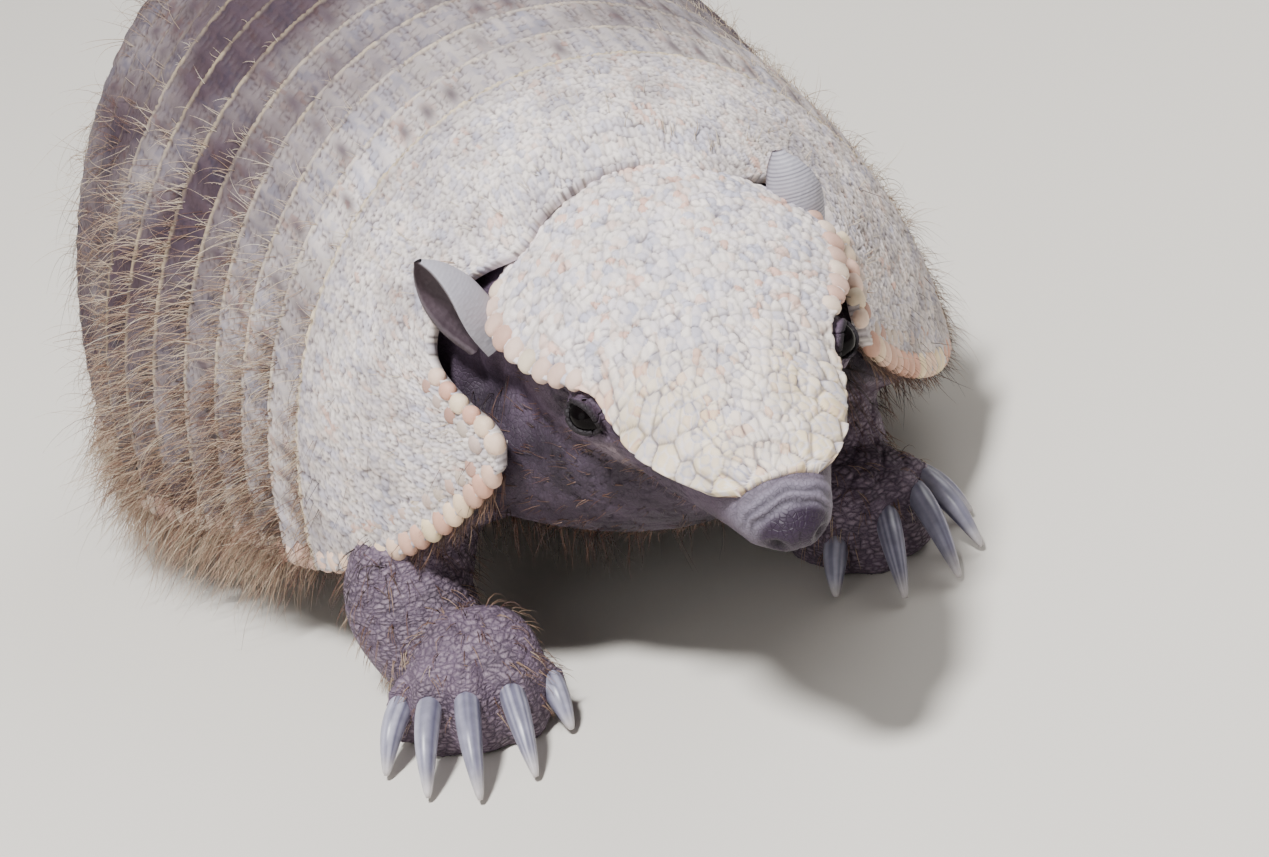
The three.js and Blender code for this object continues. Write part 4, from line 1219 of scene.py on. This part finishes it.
# ---------------------------------------------------------------------------------------------
# Coat: sparse coarse hair, long between the bands and along the lower edge, thicker on the belly,
# short on face and legs. Every hair is a thin tapered solid rooted in skin or between scutes.
# ---------------------------------------------------------------------------------------------
# Guard hair: dry keratin, buff to cream with brown ones among it, darker at the root.
guard_hair, shader = new_material("guard_hair")
tint, along = (add_node(guard_hair, "Attribute", "Fac", {}, attribute_name=key)
               for key in ("tint", "along"))
hues = add_node(guard_hair, "ValToRGB", "Color", {"Fac": tint})
stops = hues.node.color_ramp.elements
stops[0].color = srgb("#f1e8d8")
stops[1].color = srgb("#2f1f1a")
for spot, hue in ((0.3, "#decab0"), (0.55, "#b3937a"), (0.78, "#6f493a")):
    stops.new(spot).color = srgb(hue)
root_shade = add_node(guard_hair, "MapRange", 0, {"Value": along, "To Min": 0.6, "To Max": 1.0})
colour = add_node(guard_hair, "Mix", 2, {0: 1.0, 6: hues, 7: root_shade}, data_type="RGBA",
                  blend_type="MULTIPLY")
guard_hair.node_tree.links.new(colour, shader.inputs["Base Color"])
shader.inputs["Roughness"].default_value = 0.45
shader.inputs["IOR"].default_value = 1.55


HAIRS_PER_TUFT = 2
# The line inside the body that the hair's unwrap turns about, and where along it starts and ends.
UNWRAP_X, UNWRAP_Z = -3.88, 58
UNWRAP_FROM, UNWRAP_TO = -140, 300


def unwrapped(points):
    """The skin's own unwrap: round the body one way, nose to tail the other."""
    around = 0.5 + np.arctan2(points[:, 0] - UNWRAP_X, points[:, 2] - UNWRAP_Z) / (2 * math.pi)
    return np.stack([around, (points[:, 1] - UNWRAP_FROM) / (UNWRAP_TO - UNWRAP_FROM)], axis=-1)


def coat(name, roots, start, lie, lengths, wide, tints, seed, steps=4, sag=0.12, wild=0.28):
    """One coat piece: tufts of tapered three-sided hairs that leave along start and bend to lie."""
    rng = np.random.default_rng(seed)
    roots, start, lie, lengths, tints = (np.repeat(values, HAIRS_PER_TUFT, axis=0)
                                         for values in (roots, start, lie, lengths, tints))
    count = len(roots)
    start = unit(start + rng.normal(0, 0.2, (count, 3)))
    lie = unit(lie + rng.normal(0, wild, (count, 3)))
    lengths = lengths * rng.uniform(0.7, 1.1, count)
    roots = roots + rng.normal(0, 0.3, (count, 3))
    part = np.linspace(0, 1, steps + 1)
    bent = part[None, :, None]
    turned = unit(start[:, None] * (1 - bent) ** 1.3 + lie[:, None] * (0.1 + bent)
                  - np.array([0, 0, sag])[None, None] * bent)
    run = np.cumsum((lengths[:, None, None] / steps * turned)[:, :-1], axis=1)
    spine = roots[:, None] + np.concatenate([np.zeros((count, 1, 3)), run], axis=1)
    spine[..., 2] = np.maximum(spine[..., 2], 0.5)
    u = unit(np.cross(turned, np.array([0.31, 0.17, 0.94])))
    v = np.cross(turned, u)
    radius = 0.5 * wide * rng.uniform(0.8, 1.2, count)[:, None] * (1 - 0.9 * part[None, :] ** 1.5)
    a = np.arange(3) * 2 * math.pi / 3
    rings = (spine[:, :, None] + radius[..., None, None] * (u[:, :, None] * np.cos(a)[:, None]
                                                            + v[:, :, None] * np.sin(a)[:, None]))
    rings[..., 2] = np.maximum(rings[..., 2], 0.3)
    per_hair = 3 * (steps + 1)
    one = []
    for k in range(steps):
        for i in range(3):
            j = (i + 1) % 3
            low, high = 3 * k, 3 * k + 3
            one += [(low + i, low + j, high + j), (low + i, high + j, high + i)]
    one += [(0, 2, 1), (3 * steps, 3 * steps + 1, 3 * steps + 2)]
    faces = (np.array(one)[None] + per_hair * np.arange(count)[:, None, None]).reshape(-1, 3)
    marks = {"tint": np.repeat(np.clip(tints + rng.normal(0, 0.08, count), 0, 1), per_hair),
             "along": np.tile(np.repeat(part, 3), count)}
    made = build(name, rings.reshape(-1, 3), faces, guard_hair, marks)
    corner = np.stack([np.tile(np.arange(3) / 3, steps + 1), np.repeat(part, 3)], axis=-1) * 0.003
    spread = np.repeat(unwrapped(roots), per_hair, axis=0) + np.tile(corner, (count, 1))
    layer = made.data.uv_layers.new(name="OFBake")
    layer.data.foreach_set("uv", spread[faces.ravel()].astype(np.float32).ravel())
    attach(made, "root")


def ways(s, t):
    """At places on the carapace: outward, to the rear, and down the flank."""
    outward = facing(shell, s, t)
    rearward = unit(shell(s + 1, t) - shell(s - 1, t))
    downward = unit(shell(s, np.clip(t + 1e-3 * np.sign(t), -1, 1)) - shell(s, t - 1e-3 * np.sign(t)))
    return outward, rearward, downward


rng = np.random.default_rng(101)

# Hairs from under the rear edge of each plate, lying back over the next; denser low down.
EDGE_TUFTS = 420
places, sizes = [], []
for index in range(-1, BAND_COUNT):
    t = np.sign(rng.uniform(-1, 1, EDGE_TUFTS)) * rng.random(EDGE_TUFTS) ** 0.28 * HEM
    s = (index + 1) * BAND_PITCH - rng.uniform(0.2, 2.5, EDGE_TUFTS)
    places.append(np.stack([s, t]))
    longest = 25 * np.abs(t) ** 2 * (0.4 if index < 0 else 1)
    sizes.append((4 + longest) * rng.uniform(0.4, 1.25, EDGE_TUFTS))
s, t = np.concatenate(places, axis=1)
sizes = np.concatenate(sizes)
outward, rearward, downward = ways(s, t)
flank = smoothstep(0.35, 0.95, np.abs(t))[:, None]
roots = shell(s, t, -BAND_LIFT + 0.7)
start = unit(0.4 * outward + rearward + 0.3 * flank * downward)
lie = unit(rearward + 0.9 * flank * downward)
tints = 0.22 + (0.2 + 0.35 * flank[:, 0]) * rng.random(len(s)) + 0.12 * flank[:, 0]
for side, word in ((-1, "right"), (1, "left")):
    own = t * side > 0
    coat(f"coat_bands_{word}", roots[own], start[own], lie[own], sizes[own], 0.15, tints[own], 1 + side,
         steps=6, sag=0.3, wild=0.4)

# Longer stray hairs straggling over the flanks.
STRAY_TUFTS = 620
s = rng.uniform(4, 150, STRAY_TUFTS)
t = np.sign(rng.uniform(-1, 1, STRAY_TUFTS)) * rng.uniform(0.5, 0.98, STRAY_TUFTS)
outward, rearward, downward = ways(s, t)
swerve = rng.uniform(-0.2, 1.3, (STRAY_TUFTS, 1))
coat("coat_stray", shell(s, t, 0.3), unit(0.22 * outward + rearward + 0.5 * downward),
     unit(rearward + swerve * downward), rng.uniform(16, 32, STRAY_TUFTS), 0.15,
     rng.uniform(0.25, 0.8, STRAY_TUFTS), 20, steps=8, sag=0.4)

# Hairs standing between the scutes of the hip shield.
HIP_TUFTS = 520
s = rng.uniform(HIP_FRONT + 6, RUMP_REAR - 2, HIP_TUFTS)
t = rng.uniform(-0.98, 0.98, HIP_TUFTS)
outward, rearward, downward = ways(s, t)
coat("coat_hip", shell(s, t, 0.2), unit(0.6 * outward + rearward),
     unit(rearward + 0.5 * np.abs(t)[:, None] * downward), 7 + 15 * rng.random(HIP_TUFTS), 0.14,
     0.35 + 0.45 * rng.random(HIP_TUFTS), 2, steps=6, sag=0.25, wild=0.5)

# Short hairs on the shoulder shield.
SHOULDER_TUFTS = 420
s = rng.uniform(-50, -3, SHOULDER_TUFTS)
t = rng.uniform(-1, 1, SHOULDER_TUFTS)
inside = s > shoulder_front(t) + 4
s, t = s[inside], t[inside]
outward, rearward, _ = ways(s, t)
coat("coat_shoulder", shell(s, t, 0.2), unit(0.5 * outward + rearward), rearward,
     3.5 + 4 * rng.random(len(s)), 0.2, 0.15 + 0.25 * rng.random(len(s)), 3)

# The fringe that hangs from under the whole lower edge, longer behind the forelegs.
FRINGE_TUFTS = 2300
s = rng.uniform(-54, RUMP_REAR - 4, FRINGE_TUFTS)
t = np.where(rng.random(FRINGE_TUFTS) < 0.5, -1.0, 1.0) * rng.uniform(0.93, 0.995, FRINGE_TUFTS)
outward, rearward, _ = ways(s, t)
hang = np.array([0, 0, -1.0])
behind_leg = smoothstep(-8, 30, s)
sizes = (9 + 15 * behind_leg) * rng.uniform(0.75, 1.15, FRINGE_TUFTS)
# The fringe is darker in front of the forelegs: painted shade under the head, with random real tone.
tints = 0.28 + 0.45 * rng.random(FRINGE_TUFTS) + 0.35 * (1 - behind_leg)
coat("coat_fringe", shell(s, t, PLATE_THICKNESS), unit(0.55 * outward + hang + 0.3 * rearward),
     unit(0.75 * rearward + 0.2 * outward + 0.75 * hang), sizes, 0.22, tints, 4, steps=6, sag=0.1)

# Hair on the bare hide itself: roots sown over the faces of the skin.
corners = np.array([polygon.vertices[:3] for polygon in welded.polygons])
a, b, c = (points[corners[:, k]] for k in range(3))
face_normal = np.cross(b - a, c - a)
face_area = np.linalg.norm(face_normal, axis=1)
face_normal = face_normal / np.maximum(face_area, 1e-9)[:, None]
face_middle = (a + b + c) / 3
face_marks = {key: values[corners[:, 0]] for key, values in skin_marks.items()}
face_local = to_head(face_middle)


def sown(weight, count, seed):
    """Faces picked at random, more often where weight times area is larger, and their normals."""
    chance = np.maximum(weight, 0) * face_area
    picked = np.random.default_rng(seed).choice(len(chance), count, p=chance / chance.sum())
    return picked, face_middle[picked], face_normal[picked]


backward = np.array([0, 1.0, 0])
throat = face_marks["throat"] * (1 - face_marks["face"]) * smoothstep(-0.9, 0.2, -face_normal[:, 1])
picked, roots, n = sown(throat, 420, 15)
# The throat hairs get dark brown tints: painted shade under the head.
coat("coat_throat", roots, unit(n + (0, -0.3, -0.5)), unit(0.3 * n + (0, 0.3, -1.0)),
     8 + 8 * rng.random(len(picked)), 0.2, 0.85 + 0.25 * rng.random(len(picked)), 16)

trunk_part = (face_middle[:, 1] > -36) * (1 - face_marks["scaly"]) * (face_middle[:, 2] < 34)
belly = trunk_part * smoothstep(0.1, -0.4, face_normal[:, 2]) + 0.2 * trunk_part
picked, roots, n = sown(belly, 2100, 5)
sizes = (8 + 8 * smoothstep(-30, 30, roots[:, 1])) * rng.uniform(0.7, 1.2, len(picked))
# Belly hair is darker towards the chest: painted shade under the head, with random real tone.
tints = 0.3 + 0.4 * rng.random(len(picked)) + 0.5 * (1 - smoothstep(5, 60, roots[:, 1]))
coat("coat_belly", roots, unit(n + backward * 0.8), unit(backward + 0.3 * n + (0, 0, -0.15)), sizes, 0.26,
     tints, 6)

shins = face_marks["scaly"] * (face_middle[:, 1] < 170) * smoothstep(3, 9, face_middle[:, 2])
picked, roots, n = sown(shins, 1500, 7)
tall = smoothstep(12, 34, roots[:, 2])
sizes = 3.5 + 5 * tall + 2 * rng.random(len(picked))
tints = 0.4 + 0.4 * rng.random(len(picked)) + 0.35 * tall
coat("coat_legs", roots, unit(n + (0, 0, -0.9)), unit(n * 0.35 + (0, 0, -1.0)), sizes, 0.18, tints, 8)

x, back, z = face_local.T
cheeks = face_marks["face"] * smoothstep(14, 34, back) * (z < 3) * (1 - face_marks["shade"])
eye_distance = np.linalg.norm(face_local - EYE_AT * np.stack([np.sign(x), 1 + 0 * x, 1 + 0 * x], axis=-1),
                              axis=1)
cheeks = cheeks * smoothstep(5.2, 7.5, eye_distance) * (0.35 + smoothstep(-4, -14, z))
picked, roots, n = sown(cheeks, 800, 9)
to_rear = head_turn @ np.array([0, 1.0, -0.25])
low = smoothstep(-6, -16, z[picked])
coat("coat_face", roots, unit(n * 0.7 + to_rear), unit(to_rear + n * 0.2 + (0, 0, -0.3)),
     1.8 + 3.6 * low + 1.2 * rng.random(len(picked)), 0.15, 0.72 + 0.3 * rng.random(len(picked)), 10)

picked, roots, n = sown(face_marks["ring"] * (face_middle[:, 1] > TAIL_ROOT[1] - 4), 420, 11)
coat("coat_tail", roots, unit(n * 0.5 + backward), backward + 0 * n, 4 + 3 * rng.random(len(picked)), 0.2,
     0.2 + 0.35 * rng.random(len(picked)), 12)
